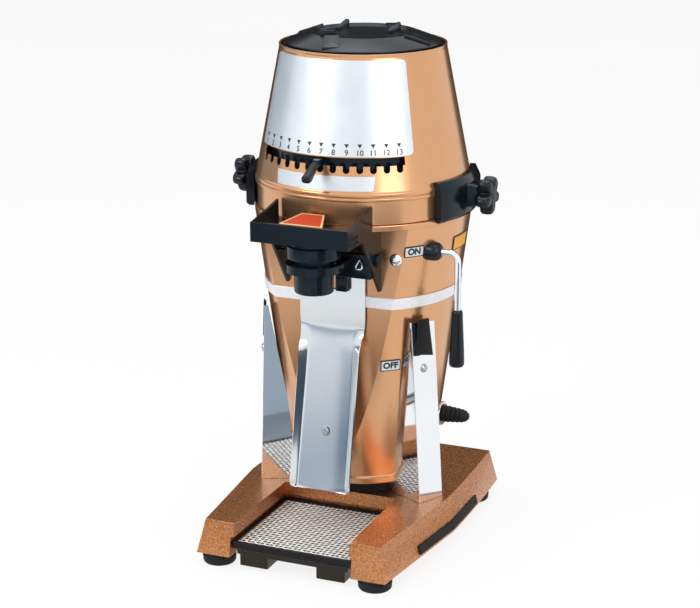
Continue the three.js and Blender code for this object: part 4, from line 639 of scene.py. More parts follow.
def notch_cutter(angle):
    """A round-bottomed slot, long enough to pass through the wall."""
    half, middle, reach = WINDOW["half"], WINDOW["notch"] + WINDOW["half"], WINDOW["low"] + 2
    arc_angles = [math.pi * k / 10 for k in range(1, 10)]
    outline = [(-half, reach), (-half, middle)]
    outline += [(-half * math.cos(t), middle - half * math.sin(t)) for t in arc_angles]
    outline += [(half, middle), (half, reach)]
    a = math.radians(angle)
    points = [(math.cos(a) * u + math.sin(a) * r, math.sin(a) * u - math.cos(a) * r, z)
              for r in (CUT["notch"], CUT["outside"]) for u, z in outline]
    return make("notch_cutter", points, bar(2, len(outline)))


cutters = [window_cutter()] + [notch_cutter(angle) for angle in dial_angles]
for cutter in cutters:
    punch = hopper.modifiers.new("punch", "BOOLEAN")
    punch.operation = "DIFFERENCE"
    punch.solver = "EXACT"
    punch.object = cutter
applied(hopper)
for cutter in cutters:
    bpy.data.objects.remove(cutter)
settle(shaded(hopper, crease=30.0), "hopper_cone")
print("hopper faces:", len(hopper.data.polygons))

# %% [markdown]
# ## Plates and their printing
# The dial plate is a sheet of satin metal wrapped round the cone. It could be bent with a
# modifier, but a sheet built straight on the cone, point by point, keeps an even gap. Numbers and
# marks are flat letters laid on the same cone, so they follow it at the same small height.

# %% Sheets and letters on a cone
SHEET_ROWS, LETTER_THICK, MARK_THICK = 17, 0.12, 0.24


def skins(rows, columns):
    """The faces of two skins of points, one over the other, closed round their edge."""
    half, last_row, last = rows * columns, rows - 1, columns - 1
    rim = [(0, u) for u in range(columns)] + [(v, last) for v in range(1, rows)]
    rim += [(last_row, u) for u in range(last - 1, -1, -1)]
    rim += [(v, 0) for v in range(last_row - 1, 0, -1)]
    loop = [v * columns + u for v, u in rim]
    faces = joined(rows, columns, wrap_columns=False)
    faces += [tuple(half + i for i in face[::-1]) for face in faces]
    return faces + [(a, b, half + b, half + a) for a, b in zip(loop, loop[1:] + loop[:1])]


def wrapped_sheet(name, radius_at, span, heights, corner, lift, thick, columns=64, narrow=0.0):
    """A curved plate with rounded corners that lies on a cone, narrower at its foot if asked."""
    (left, right), (low, high) = span, heights
    points = []
    for side in (lift, lift + thick):
        for v in range(SHEET_ROWS):
            z = low + (high - low) * (0.5 - 0.5 * math.cos(math.pi * v / (SHEET_ROWS - 1)))
            edge = min(z - low, high - z)
            inset = corner - math.sqrt(max(0.0, corner ** 2 - (corner - min(edge, corner)) ** 2))
            swing = math.degrees(inset / radius_at(z)) + narrow * (high - z) / (high - low)
            for u in range(columns):
                angle = left + swing + (right - left - 2 * swing) * u / (columns - 1)
                points.append(turned(angle, radius_at(z) + side, z))
    return make(name, points, skins(SHEET_ROWS, columns))


def wrapped_words(name, text, size, angle, z, radius_at, lift, bold):
    """Flat letters laid on a cone, centred on an angle and a height."""
    face = bpy.data.curves.new(name, "FONT")
    face.body, face.size, face.align_x, face.align_y = text, size, "CENTER", "CENTER"
    face.extrude, face.offset = LETTER_THICK, bold
    letters = placed(name, face)
    mesh = baked(letters)
    bpy.data.objects.remove(letters)
    for vertex in mesh.vertices:
        u, v, out = vertex.co
        at = math.degrees(u / radius_at(z))
        vertex.co = metres(turned(angle + at, radius_at(z + v) + lift + out, z + v))
    return placed(name, mesh)


def stamped(name, outline, angle, z, radius_at, lift):
    """A small flat shape laid on a cone."""
    points = [turned(angle + math.degrees(u / radius_at(z)), radius_at(z + v) + out, z + v)
              for out in (lift, lift + MARK_THICK) for u, v in outline]
    return make(name, points, bar(2, len(outline)), crease=20.0)


print("faces of the dial plate:", len(skins(SHEET_ROWS, 64)))

# %% Dial, notice and switch plates
dial = wrapped_sheet("dial_face", cone_radius, (-51, 51), (527.0, 643.5), corner=5.0, lift=0.4, thick=1.2)
settle(dial, "dial_plate")
triangle = [(-2.9, 2.6), (0, -2.6), (2.9, 2.6)]
for count, angle in enumerate(dial_angles, start=1):
    mark = stamped(f"dial_mark_{count}", triangle, angle, 540.0, cone_radius, lift=1.55)
    number = wrapped_words(
        f"dial_number_{count}", str(count), 9.6, angle, 531.6, cone_radius, lift=1.6, bold=0.14)
    for piece in (mark, number):
        settle(piece, "dial_plate", ink, replaces=False)

notice = wrapped_sheet(
    "notice_sheet", cone_radius, (-29, 29), (485.0, 503.0), corner=1.5, lift=0.3, thick=1.0,
    columns=48, narrow=1.3)
settle(notice, "notice_plate")

BORDER = 1.3
for node, name, (left, right), (low, high), word in (
        ("plate_on", "on_plate", (44.5, 56.0), (396.4, 410.4), "ON"),
        ("plate_off", "off_plate", (33.5, 46.5), (241.4, 256.4), "OFF"),
        ("plate_side", "side_plate", (79.0, 96.0), (391.9, 410.9), None)):
    border = wrapped_sheet(
        name + "_border", housing_radius, (left, right), (low, high), corner=1.2, lift=0.3, thick=0.7,
        columns=24)
    settle(border, node, ink)
    z = (low + high) / 2
    swing = math.degrees(BORDER / housing_radius(z))
    span, heights = (left + swing, right - swing), (low + BORDER, high - BORDER)
    field = wrapped_sheet(
        name, housing_radius, span, heights, corner=0.8, lift=0.95, thick=0.3, columns=24)
    settle(field, node, replaces=False)
    if word:
        letters = wrapped_words(
            name + "_word", word, 11.4, (left + right) / 2, z, housing_radius, lift=1.3, bold=0.55)
        settle(letters, node, ink, replaces=False)

# %% [markdown]
# ## Clamp knobs
# The knobs are moulded stars with five soft lobes and a domed face. A bevelled outline would give
# them hard shoulders, so they are rings of points whose radius follows a wave, and each ring
# takes a share of that radius so that the face closes in a dome.

# %% Star knobs
KNOB = {
    "foot": 163.8, "axis": 463.4, "radius": 20.6, "lobe": 5.9, "valley": 0.9, "face": 21.0, "columns": 160}
knob_dome = [
    (KNOB["foot"], 0.80), (164.6, 0.93), (166.2, 0.985), (169.0, 1.0), (174.0, 1.0), (177.5, 0.975),
    (179.6, 0.92), (180.9, 0.82), (181.5, 0.66), (181.6, 0.45), (181.3, 0.30), (181.3, 0.0)]


def star_ring(x, share):
    """A ring of the knob: lobed where it is wide, round where it closes."""
    ring = []
    for k in range(KNOB["columns"]):
        t = 2 * math.pi * k / KNOB["columns"]
        star = KNOB["radius"] + KNOB["lobe"] * math.cos(5 * t) - KNOB["valley"] * math.cos(10 * t)
        r = share * (star if share > 0.5 else KNOB["face"])
        ring.append((x, r * math.sin(t), KNOB["axis"] - r * math.cos(t)))
    return ring


for side, node in ((-1, "clamp_knob_left"), (1, "clamp_knob_right")):
    points = [(side * KNOB["foot"], 0.0, KNOB["axis"])] * KNOB["columns"]
    for x, share in knob_dome:
        points += star_ring(side * x, share)
    settle(make(node + "_star", points, joined(len(knob_dome) + 1, KNOB["columns"])), node)
print("rings in a knob:", len(knob_dome))

# %% [markdown]
# ## Start lever
# The lever is one bent rod of polished steel with a moulded handle that swells towards its lower
# end. A curve with a bevel would do for the rod. It is swept by hand instead, a circle carried
# along a line of points and capped, so that it becomes a closed mesh like every other piece.

# %% Sweeps
def sweep(name, path, radius, sides):
    """A round bar along a line of points, with closed ends."""
    line = [Vector(place) for place in path]
    points, normal = [], None
    for i, here in enumerate(line):
        ahead = (line[min(i + 1, len(line) - 1)] - line[max(i - 1, 0)]).normalized()
        if normal is None:
            normal = ahead.orthogonal().normalized()
        normal = (normal - ahead * normal.dot(ahead)).normalized()
        other = ahead.cross(normal)
        for k in range(sides):
            a = 2 * math.pi * k / sides
            points.append(here + (normal * math.cos(a) + other * math.sin(a)) * radius)
    return make(name, points, bar(len(line), sides))


print("faces of a short rod:", len(bar(2, 28)))

# %% Rod and handle
LEVER = {"y": -66.0, "axis": 400.4, "x": 157.0, "bend": 12.0, "radius": 4.4}
GRIP_LOW, GRIP_HIGH = 251.1, 326.1

bend_x, bend_z = LEVER["x"] - LEVER["bend"], LEVER["axis"] - LEVER["bend"]
quarter = [math.pi / 2 * k / 8 for k in range(9)]
line = [(78.0, LEVER["axis"]), (110.0, LEVER["axis"])]
line += [(bend_x + LEVER["bend"] * math.sin(t), bend_z + LEVER["bend"] * math.cos(t)) for t in quarter]
line += [(LEVER["x"], 352.0), (LEVER["x"], GRIP_HIGH + 0.3)]
rod = sweep("lever_bar", [(x, LEVER["y"], z) for x, z in line], LEVER["radius"], sides=28)
settle(rod, "lever_rod")

grip = [(0, GRIP_LOW), (8.2, GRIP_LOW), (9.7, 253.5), (10.0, 258.0), (9.4, 275.0), (7.6, 312.0),
        (7.2, 323.0), (6.0, GRIP_HIGH), (0, GRIP_HIGH)]
handle = lathe("lever_handle", soften(grip, 2.2, 5), sides=64, centre=(LEVER["x"], LEVER["y"]))
settle(handle, "lever_grip")
print("points along the rod:", len(line))

# %% [markdown]
# ## Lid
# The lid is a shallow moulded cone with a sunk middle. Four ramps stiffen it, set askew like the
# vanes of a pinwheel, with a finger lip at the end of the front one and two hinge lugs behind.
# The cone is spun, and each ramp or lug is the hull of its eight corners with rounded edges.

# %% Blocks with rounded edges
def block(name, corners, edge):
    """A solid from its corner points, with rounded edges."""
    work = bmesh.new()
    for corner in corners:
        work.verts.new(metres(corner))
    bmesh.ops.convex_hull(work, input=work.verts)
    bmesh.ops.dissolve_limit(work, angle_limit=math.radians(1), verts=work.verts, edges=work.edges)
    bmesh.ops.bevel(
        work, geom=work.edges[:], offset=edge * MM, segments=ROUNDING_STEPS, profile=0.5, affect="EDGES")
    bmesh.ops.recalc_face_normals(work, faces=work.faces)
    mesh = bpy.data.meshes.new(name)
    work.to_mesh(mesh)
    work.free()
    return shaded(placed(name, mesh), crease=40.0)


def prism(name, plan, low, high, edge):
    """A block from its plan and its heights. A height may be one number or one for each corner."""
    corners = []
    for level in (low, high):
        heights = level if isinstance(level, list) else [level] * len(plan)
        corners += [(x, y, z) for (x, y), z in zip(plan, heights)]
    return block(name, corners, edge)


print("steps across a rounded edge:", ROUNDING_STEPS)

# %% Lid, ramps and lugs
LID = 649.3  # the height of its rim


def crossed(middle, along, across, length, near, far):
    """A plan of four corners: its near and far half widths, and how long it runs."""
    end = middle + along * length
    return [middle - across * near, middle + across * near, end + across * far, end - across * far]


cover = [(0, 12.5), (59.5, 12.5), (61.5, 15), (69, 15), (100.8, 3), (100.8, 0.3), (95, 0.3), (66, 12),
         (61, 9.5), (0, 9.5)]
cover = soften([(r, LID + rise) for r, rise in cover], 1.2, 4)
settle(lathe("lid_cover", cover, sides=160, crease=30.0), "hopper_lid")

inward, across = Vector((-0.357, 0.934)), Vector((0.934, 0.357))
ramp_plan = crossed(Vector((-4.3, -94.1)), inward, across, length=33, near=12, far=9.5)
ramp_low = [LID + 2.5, LID + 4.5, LID + 12.5, LID + 12.5]
ramp_high = [LID + 6.5, LID + 7.5, LID + 17.5, LID + 17.5]
for k, name in enumerate(("front", "right", "rear", "left")):
    spin = Matrix.Rotation(math.radians(90 * k), 2)
    plan = [spin @ corner for corner in ramp_plan]
    settle(prism(f"lid_ramp_{name}", plan, ramp_low, ramp_high, edge=0.9), "hopper_lid", replaces=False)

lip = crossed(Vector((-25.8, -56.4)), inward, across, length=3, near=10, far=10)
settle(prism("lid_finger_lip", lip, LID + 11, LID + 21.5, edge=0.8), "hopper_lid", replaces=False)
lug_high = [LID + 18, LID + 18, LID + 23.8, LID + 23.8]
for x, name in ((-36.0, "lid_lug_left"), (36.0, "lid_lug_right")):
    lug = prism(name, rectangle(x - 3, x + 3, 1.5, 33.5), LID + 11, lug_high, edge=1.6)
    settle(lug, "hopper_lid", replaces=False)

# %% [markdown]
# ## Side saddles
# Two cast saddles bridge the seam between housing and hopper. Their section has a broad bevel
# above and a narrow one below, and a thicker rib closes each end. The section is carried round
# the axis between two angles, which a full lathe can't do, and the boss under each knob is a
# block that narrows outwards.

# %% Saddles
def arc(name, section, start, end, steps=20):
    """A section of (radius, height) points carried between two angles, with closed ends."""
    angles = [start + (end - start) * k / steps for k in range(steps + 1)]
    points = [turned(angle, r, z) for angle in angles for r, z in section]
    return make(name, points, bar(steps + 1, len(section)), crease=30.0)


inside = [(139.3, 484.0), (142.8, 484.0)]
bridge = [(142.8, 437.6), (148.0, 437.6), (151.4, 442.0), (151.4, 475.0), (145.6, 489.3), (139.3, 489.3)]
rib = [(142.8, 437.4), (149.5, 437.4), (153.6, 441.2), (153.6, 475.6), (147.2, 489.4), (139.3, 489.4)]
bridge, rib = soften(bridge + inside, 0.8), soften(rib + inside, 1.0)
for side, node in ((-1, "clamp_saddle_left"), (1, "clamp_saddle_right")):
    settle(arc(node + "_bridge", bridge, side * 63.5, side * 114.5), node, enamel)
    for place, start, end in (("front", 62.2, 66.4), ("rear", 112.4, 114.8)):
        closing = arc(f"{node}_{place}_rib", rib, side * start, side * end, steps=4)
        settle(closing, node, enamel, replaces=False)
    boss = [(side * x, y, KNOB["axis"] + z)
            for x, half, rise in ((148.0, 17.0, 15.5), (163.2, 12.0, 12.0))
            for y in (-half, half) for z in (-rise, rise)]
    settle(block(node + "_boss", boss, edge=1.6), node, enamel, replaces=False)
print("points in a saddle's section:", len(bridge))

# %% [markdown]
# ## Badge place on the shelf
# A sloped pad on the shelf carries a thin enamelled plate with a pale rim. The plate stays plain:
# only its rim and its soft gloss tell the eye that it is a separate thing.

# %% Sloped pad and plain plate
PAD_FRONT, PAD_DEPTH, PAD_LOW, PAD_RISE = -178.0, 32.0, 446.0, 8.0


def on_slope(plan, lift=0.0):
    """The height of the pad's top at each corner of a plan, with a lift above it."""
    return [PAD_LOW + PAD_RISE * (y - PAD_FRONT) / PAD_DEPTH + lift for x, y in plan]


pad = [(-34, -176), (14, -176), (6, -148), (-20, -148)]
rim = [(-39.6, -177.6), (19.6, -177.6), (9, -146.5), (-22, -146.5)]
field = [(-35.6, -175.8), (15.8, -175.8), (7.4, -148.3), (-20.4, -148.3)]
settle(prism("badge_pad", pad, 442.4, on_slope(pad), edge=0.6), "shelf_plate", enamel)
edging = prism("badge_rim", rim, on_slope(rim), on_slope(rim, 0.9), edge=0.3)
settle(edging, "shelf_plate", gilt, replaces=False)
plate = prism("badge_field", field, on_slope(field, 0.5), on_slope(field, 1.15), edge=0.25)
settle(plate, "shelf_plate", signal_red, replaces=False)
print("the pad rises by", PAD_RISE, "mm")

# %% [markdown]
# ## Small fittings by the clamp
# A domed screw sits on the flat of the housing, a round knob ends the yoke's pin, a wire link
# hangs under the shelf, and a bracket with a tongue holds the spout. They are small, but they
# catch the light and fill the dark under the shelf, so each gets a mesh of its own. Screws and
# knobs are spun upright first and then turned to the way they face.

# %% Spun pieces at any angle
def spun_along(name, section, place, heading, sides=48):
    """A spun section whose axis starts at a place and points along a heading."""
    spun = lathe(name, section, sides, crease=40.0)
    spun.data.transform(Matrix.Translation((0.0, -AXIS_Y * MM, 0.0)))
    turn = Vector(heading).to_track_quat("Z", "Y").to_matrix().to_4x4()
    spun.data.transform(Matrix.Translation(metres(place)) @ turn)
    return spun


sideways = Vector((1, 0, 0)).to_track_quat("Z", "Y")
print("a piece that faces right is turned by", round(math.degrees(sideways.angle)), "degrees")

# %% Domed screw, pin knob, wire link and bracket
screw_head = [(0, 0), (8.2, 0), (8.4, 0.8), (7.6, 2.4), (5.4, 3.9), (2.8, 4.7), (0, 4.9)]
screw = spun_along("flat_dome_screw", screw_head, (85.7, -98.9, 392.7), (0, -1, 0))
settle(screw, "motor_housing", chrome, replaces=False)

pin_end = soften([(0, 0), (7.5, 0), (8.6, 2), (8.6, 6.5), (7.2, 8.6), (0, 9.2)], 1.2)
pin_knob = spun_along("pin_knob", pin_end, (62.0, -112.0, 393.7), (1, 0, 0))
settle(pin_knob, "clamp_pin", enamel, replaces=False)

link_low, link_front, link_lean = 385.5, -133.0, 0.4
link = soften([(43.5, link_low), (54.5, link_low), (49.5, 398.5)], 4.5, 6)
loop = [(x, link_front + (z - link_low) * link_lean, z) for x, z in link]
wire_link = sweep("wire_link", loop + loop[:2], radius=0.95, sides=12)
settle(wire_link, "clamp_housing", chrome, replaces=False)

for name, plan, low, high in (
        ("clamp_bracket", rectangle(14, 63, -126, -112), 371, 403),
        ("clamp_bracket_tongue", rectangle(8, 23.5, -112, -103), 347, 374)):
    settle(prism(name, plan, low, high, edge=1.2), "clamp_housing", enamel, replaces=False)
print("points round the wire link:", len(loop))

# %% [markdown]
# ## Legs
# Each leg is a sheet folded along a leaning line. Its inner flange narrows upwards and its web
# keeps one width up to a sloping top edge. A section with a soft fold is carried along the fold,
# and the corners of the black pad are places on the web, measured from the fold. The left leg is
# the right one mirrored.

# %% Places on a leg
LEG = {
    "foot": Vector((115.0, -83.0, 61.6)), "top": Vector((103.5, -90.0, 309.0)),
    "thick": 2.0, "wide": 42.0, "flange": 60.0, "narrowing": 55.0}
WEB_TURN = math.radians(24.0)
web_back = Vector((math.sin(WEB_TURN), math.cos(WEB_TURN), 0))
web_inward = Vector((-web_back.y, web_back.x, 0))


def leg_share(height):
    """How far up the leg a height lies, from 0 to 1."""
    return (height - LEG["foot"].z) / (LEG["top"].z - LEG["foot"].z)


def across_web(back, height, inner=0.0):
    """A place on the right leg: behind the fold, above the counter, inside the outer face."""
    return LEG["foot"].lerp(LEG["top"], leg_share(height)) + web_back * back + web_inward * inner


def leg_ring(height, drop=0.0):
    """The folded section at one height, its web ending a little lower if asked."""
    thick, wide = LEG["thick"], LEG["wide"]
    flange = LEG["flange"] - LEG["narrowing"] * leg_share(height)
    section = [(0, 0), (0, flange), (thick, flange), (thick, thick), (wide, thick), (wide, 0)]
    ring = soften(section, 0.9, corners_everywhere=True)
    return [across_web(back, height - drop * back / wide, inner) for back, inner in ring]


def mirrored(side, places):
    """The same places on the left leg for a side of -1."""
    return [(side * x, y, z) for x, y, z in places]


print("the right leg is folded at", [round(value, 1) for value in across_web(0, 200)])

# %% Folded legs, pads and screws
leg_points = leg_ring(LEG["foot"].z) + leg_ring(LEG["top"].z, 5.0)
pad_corners = ((5.5, 265.5), (36.0, 258.5), (31.5, 309.5), (14.0, 311.0))
pad = [across_web(back, height, inner) for back, height in pad_corners for inner in (0.6, -1.2)]
screw_head = [(0, -4), (5.8, 0), (5.6, 1.0), (4.4, 2.2), (2.4, 2.9), (0, 3.1)]
seat = across_web(19.0, 244.5)
for side, name in ((-1, "left"), (1, "right")):
    faces = bar(2, len(leg_points) // 2)
    leg = make(f"folded_leg_{name}", mirrored(side, leg_points), faces, crease=50.0)
    settle(evened(leg), f"leg_{name}")
    settle(block(f"leg_pad_{name}", mirrored(side, pad), edge=0.7), f"leg_insert_{name}", matte)
    place, heading = mirrored(side, (seat, -web_inward))
    settle(spun_along(f"leg_fixing_{name}", screw_head, place, heading, sides=32), f"leg_screw_{name}")
print("points in a leg's section:", len(leg_points) // 2)

# %% [markdown]
# ## Chute
# The chute is one sheet of bright steel, pressed into a shallow trough: a dished middle and two
# flared sides with soft bends. Above the trough it is wider and flat, and the change is eased.
# A grid of points follows the section at each height and then gets a thickness of its own, so
# that the bright finish flows over the bends, which boxes joined edge to edge could not do.

# %% Chute section
CHUTE = {
    "low": 84.4, "bend": 299.4, "high": 346.4, "face": -101.6, "thick": 1.5,
    "lean": 40.4 / 215.0, "lean_reach": 20.0, "corner": 7.0,
    "half": 42.5, "shoulder": 3.0, "shoulder_from": 272.0, "shoulder_over": 40.0,
    "flare": 10.0, "dish": 2.4, "flat_from": 264.0, "flat_over": 34.0,
    "web": 31.0, "web_gain": 5.0, "fold": 2.2}
CHUTE_COLUMNS = 24  # on either side of its middle


def eased(t):
    """From 0 to 1 without a corner at either end."""
    t = min(1.0, max(0.0, t))
    return t * t * (3 - 2 * t)


def chute_section(z):
    """Points across the back of the sheet at one height, with the way each one faces."""
    corner = CHUTE["corner"] - min(CHUTE["corner"], z - CHUTE["low"])
    widening = eased((z - CHUTE["shoulder_from"]) / CHUTE["shoulder_over"])
    half = CHUTE["half"] + CHUTE["shoulder"] * widening
    half -= CHUTE["corner"] - math.sqrt(CHUTE["corner"] ** 2 - corner ** 2)
    pressed = 1 - eased((z - CHUTE["flat_from"]) / CHUTE["flat_over"])
    flare, dish = CHUTE["flare"] * pressed, CHUTE["dish"] * pressed
    web = CHUTE["web"] + CHUTE["web_gain"] * (CHUTE["bend"] - z) / (CHUTE["bend"] - CHUTE["low"])
    slope = max(0.0, flare - 0.9 * dish) / (CHUTE["half"] - web)
    sink, reach = max(0.0, CHUTE["bend"] - z), CHUTE["lean_reach"]
    back = CHUTE["face"] - CHUTE["lean"] * (sink - reach / 2 if sink > reach else sink ** 2 / (2 * reach))
    row = []
    for k in range(-CHUTE_COLUMNS, CHUTE_COLUMNS + 1):
        x = half * math.sin(math.pi / 2 * k / CHUTE_COLUMNS)
        over = max(0.0, abs(x) - (web - CHUTE["fold"]))
        turn = slope * min(1.0, over / (2 * CHUTE["fold"]))
        side = turn * over / 2 if over < 2 * CHUTE["fold"] else slope * (over - CHUTE["fold"])
        facing = Vector((math.copysign(turn, x) + 2 * dish * x / half ** 2, 1.0, 0.0)).normalized()
        row.append((Vector((x, back - dish * (x / half) ** 2 - side, z)), facing))
    return row


print("points across the chute:", len(chute_section(CHUTE["low"])))

# %% Chute sheet and its tabs
heights = [CHUTE["low"] + CHUTE["corner"] * (1 - math.cos(math.pi / 2 * k / 6)) for k in range(6)]
heights += [92.0 + 10.0 * k for k in range(18)] + [266.0 + 2.0 * k for k in range(26)]
heights += [325.0, 335.0, CHUTE["high"]]
rows = [chute_section(z) for z in heights]
points = [place - facing * front
          for front in (0.0, CHUTE["thick"]) for row in rows for place, facing in row]
settle(make("coffee_chute", points, skins(len(rows), len(rows[0])), crease=40.0), "chute", trough)

outline = soften(rectangle(24.0, 45.5, 344.0, 367.4), 3.0, 5)
for side, name in ((-1, "chute_tab_left"), (1, "chute_tab_right")):
    points = [(side * x, CHUTE["face"] - out, z)
              for out in (0.05, CHUTE["thick"] - 0.05) for x, z in outline]
    settle(make(name, points, bar(2, len(outline)), crease=28.0), "chute", trough, replaces=False)
print("chute rows:", len(heights))

# %% [markdown]
# ## Lever boss
# The start lever turns in a black moulded boss on the side of the housing. Its face is domed and
# its edge is soft, so it is a spun section laid on its side, on the lever's own axis.

# %% Boss
boss = [(0, 112.0), (12.0, 112.0), (12.4, 126.0), (11.4, 131.0), (8.0, 134.7), (5.5, 136.0), (0, 136.0)]
pivot = (0.0, LEVER["y"], LEVER["axis"])
settle(spun_along("lever_boss", soften(boss, 2.0, 4), pivot, (1, 0, 0), sides=64), "lever_bushing")
print("the boss reaches", boss[-1][1], "mm from the grinder's axis")

# %% [markdown]
# ## Woven grille
# The bag stands on a screen of round wire, over and under. A texture could only fake it, and the
# light through the gaps matters here, so each wire follows its own wave, half a wave behind its
# neighbour.

# %% Wires of the grille
WIRES, WIRE_SIDES, STEPS_PER_WIRE, WIRE_TALL, WIRE_WIDE = 24, 6, 4, 0.5, 1.0
low, high = (Vector(corner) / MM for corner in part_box("tray_mesh"))
half_x, front, back, middle_z = high.x, low.y - AXIS_Y, high.y - AXIS_Y, (low.z + high.z) / 2
rise = (high.z - low.z) / 2 - WIRE_TALL


def wire_points(run, n):
    """The rings of one wire, the nth of those that run across or along."""
    share, steps, points = (n + 0.5) / WIRES, STEPS_PER_WIRE * WIRES, []
    for k in range(steps + 1):
        s = k / steps
        wave = rise * math.sin(math.pi * (s * WIRES + n)) * (1 if run == "along" else -1)
        x = -half_x + 2 * half_x * (s if run == "across" else share)
        y = front + (back - front) * (share if run == "across" else s)
        for c in range(WIRE_SIDES):
            a = 2 * math.pi / WIRE_SIDES * c
            out, up = WIRE_WIDE * math.cos(a), WIRE_TALL * math.sin(a)
            side = Vector((out, 0, up)) if run == "along" else Vector((0, out, up))
            points.append(Vector((x, y, middle_z + wave)) + side)
    return points


points, faces = [], []
for run in ("across", "along"):
    for n in range(WIRES):
        faces += bar(STEPS_PER_WIRE * WIRES + 1, WIRE_SIDES, len(points))
        points += wire_points(run, n)
settle(make("woven_grille", points, faces, crease=60.0), "tray_mesh", wire)
print("wires:", 2 * WIRES, "points:", len(points))

# %% [markdown]
# ## Pieces inside
# The motor, fan, burrs and switch can be seen only when the grinder is taken apart. Their own
# solids stay, and each takes the finish of its slot.

# %% Finishes for the solids that stay
kept = 0
for node, solid in frame["nodes"].items():
    if not solid.hide_render:
        solid.data.materials.clear()
        solid.data.materials.append(finish_of[slot_of[node]].material)
        kept += 1
print("solids kept with a finish:", kept)

# %% [markdown]
# ## Floor, sky and lamps
# The photograph has a white background and soft light from all round, a little stronger from the
# front left. A wide pale floor catches the shadow. The floor is nearly white to the camera and to
# mirrors and the sky is white, while the sky that lights the grinder is dimmer. Three soft lamps
# add the rest.

# %% Floor
FLOOR_REACH, FLOOR_GLOW = 12.0, 0.85  # metres from the middle, and how much of it is plain white
floor_finish = Finish("studio_floor", Roughness=0.9, Specular_IOR_Level=0.1)
dust = floor_finish.noise(2.0, 2.0)
floor_finish.feed(Base_Color=floor_finish.blend(dust, (0.90, 0.90, 0.90), (0.94, 0.94, 0.94)))
white = floor_finish.node("ShaderNodeEmission", {}, {"Color": (1, 1, 1, 1), "Strength": 1.0})
mixed = floor_finish.node("ShaderNodeMixShader", {}, {
    0: floor_finish.seen() * FLOOR_GLOW, 1: floor_finish.shader, 2: white})
floor_finish.tree.links.new(mixed.socket, floor_finish.end.inputs["Surface"])

floor_mesh = bpy.data.meshes.new("studio_floor")
floor_corners = [(x, y, 0) for x, y in rectangle(-FLOOR_REACH, FLOOR_REACH, -FLOOR_REACH, FLOOR_REACH)]
floor_mesh.from_pydata(floor_corners, [], [(0, 1, 2, 3)])
floor_mesh.materials.append(floor_finish.material)
placed("studio_floor", floor_mesh)
print("floor is", 2 * FLOOR_REACH, "m wide")

# %% World and lamps
world = bpy.data.worlds.new("studio_sky")
bpy.context.scene.world = world
sky = Tree(world)
shade = sky.node("ShaderNodeMix", {"data_type": "RGBA"}, {
    "Factor": 1 - sky.seen(), "A": (1, 1, 1, 1), "B": (0.62, 0.62, 0.63, 1)}, "Result")
background = sky.node("ShaderNodeBackground", {}, {"Color": shade})
sky.node("ShaderNodeOutputWorld", {}, {"Surface": background}, None)
LAMP_AIM = Vector((0, 0, 0.35))


def softbox(name, place, size, power):
    """A square lamp that faces the grinder. Its place and size are in metres."""
    lamp = bpy.data.lights.new(name, "AREA")
    lamp.shape = "SQUARE"
    lamp.size = size
    lamp.energy = power
    stand = placed(name, lamp)
    stand.location = place
    stand.rotation_euler = (LAMP_AIM - Vector(place)).to_track_quat("-Z", "Y").to_euler()


softbox("key_box", (-1.6, -2.4, 2.2), size=1.6, power=45.0)
softbox("fill_box", (2.4, -1.8, 1.6), size=1.6, power=20.0)
softbox("top_box", (0.0, 0.3, 2.6), size=1.8, power=25.0)
print("lamps:", len(bpy.data.lights))

# %% [markdown]
# ## Boards for the mirrors
# Polished metal looks like its surroundings. In a white studio chrome would vanish, so
# photographers set up dark and tinted boards outside the picture. Here only glossy rays see them,
# and they cast no shadow: the colours below are what the copper, the legs and the chute reflect.
# Screens stand round the grinder, and other boards lie on the floor.

# %% Painted boards
def card_finish(name, dark, light):
    """Painted board of one colour, a little uneven."""
    made = Finish(name, Roughness=0.9, Specular_IOR_Level=0.0)
    made.feed(Base_Color=made.blend(made.noise(3.0, 2.0), dark, light))
    return made


FADE_FROM, FADE_TO = 0.1, 0.42  # metres above the floor


def fading_finish(name, foot, middle, top):
    """Painted board that grows lighter with its height."""
    made = Finish(name, Roughness=0.9, Specular_IOR_Level=0.0)
    upright = made.node("ShaderNodeSeparateXYZ", {}, {"Vector": made.place()}, "Z")
    share = made.node("ShaderNodeMapRange", {}, {
        "Value": upright, "From Min": FADE_FROM, "From Max": FADE_TO})
    made.feed(Base_Color=made.ramp(share, (0.0, foot), (0.45, middle), (1.0, top)))
    return made


black_card = card_finish("black_card", (0.018, 0.014, 0.012), (0.024, 0.019, 0.016))
grey_card = card_finish("grey_card", (0.23, 0.29, 0.34), (0.28, 0.34, 0.40))
soft_card = fading_finish("soft_card", (0.15, 0.21, 0.28), (0.39, 0.46, 0.53), (0.88, 0.92, 0.96))
fading_card = fading_finish("fading_card", (0.45, 0.51, 0.59), (0.76, 0.80, 0.85), (0.95, 0.97, 1.0))
pale_card = card_finish("pale_card", (0.34, 0.42, 0.49), (0.38, 0.46, 0.53))
warm_card = card_finish("warm_card", (0.26, 0.20, 0.17), (0.30, 0.24, 0.21))
brown_card = card_finish("brown_card", (0.04, 0.014, 0.009), (0.05, 0.02, 0.012))
blue_card = card_finish("blue_card", (0.035, 0.065, 0.095), (0.05, 0.085, 0.12))
print("card finishes:", len([m for m in bpy.data.materials if m.name.endswith("_card")]))

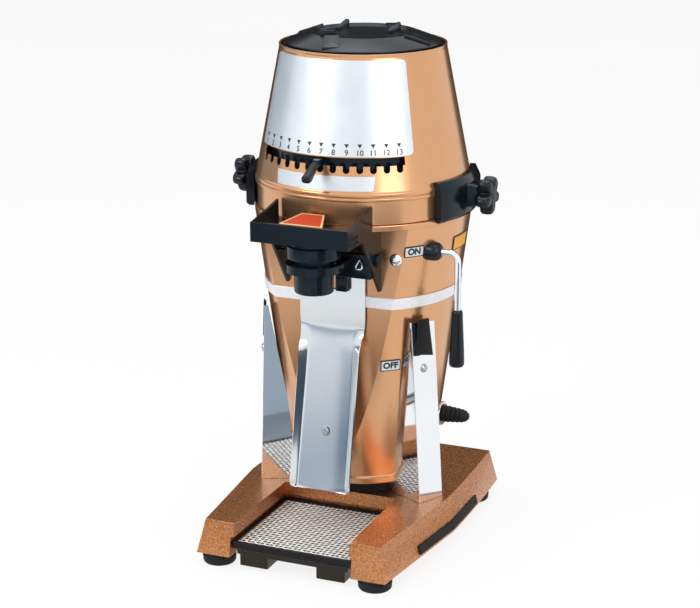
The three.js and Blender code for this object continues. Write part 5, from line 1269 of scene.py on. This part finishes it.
# %% Boards in their places
def card(name, corners, faces, finish):
    """A board outside the picture. Mirrors see it, and it casts no shadow."""
    mesh = bpy.data.meshes.new(name)
    mesh.from_pydata(corners, [], faces)
    mesh.materials.append(finish.material)
    board = placed(name, mesh)
    for ray in ("camera", "diffuse", "shadow", "transmission"):
        setattr(board, f"visible_{ray}", False)


def bent_card(name, start, end, edges, finish, steps=12):
    """A board between two angles. Its two edges are (distance, height), in metres."""
    angles = [start + (end - start) * k / steps for k in range(steps + 1)]
    corners = [turned(angle, r, z) for angle in angles for r, z in edges]
    card(name, corners, [(2 * k, 2 * k + 2, 2 * k + 3, 2 * k + 1) for k in range(steps)], finish)


LOW = 0.004  # metres: a board on the floor lies this high
for name, start, end, edges, finish in (
        ("dark_card_behind", 162.0, 244.0, ((3.0, 0.01), (3.0, 2.1)), black_card),
        ("grey_card_side", 244.0, 282.0, ((3.0, 0.01), (3.0, 1.6)), grey_card),
        ("blue_card_low", 34.0, 64.0, ((0.9, LOW), (0.9, 0.26)), blue_card),
        ("soft_card_left", -70.0, -25.0, ((1.4, 0.01), (1.4, 0.44)), soft_card),
        ("fading_card_front", -25.0, -3.0, ((1.4, 0.01), (1.4, 0.44)), fading_card),
        ("dark_floor_behind", 158.0, 246.0, ((0.3, LOW), (3.0, LOW)), black_card),
        ("brown_floor_front", -34.0, -6.0, ((0.42, LOW), (0.94, LOW)), brown_card)):
    bent_card(name, start, end, edges, finish)

RAISED, NEAR = 0.045, -0.25  # metres: a board over the floor, and where it starts
raised = [(-0.05, NEAR), (0.34, NEAR), (0.55, -1.2), (0.05, -1.2)]
for name, corners, finish in (
        ("grey_card_low", [(x, y, RAISED) for x, y in raised], grey_card),
        ("grey_card_upright", [(x, NEAR, z) for x, z in rectangle(-0.05, 0.05, 0.002, RAISED)], pale_card),
        ("warm_card_side", [(x, y, LOW) for x, y in rectangle(0.2, 0.3, -0.15, 0.5)], warm_card)):
    card(name, corners, [(0, 1, 2, 3)], finish)

# %% [markdown]
# ## Last lines
# The scene is brought up to date at the end.

# %% Last update
bpy.context.view_layer.update()
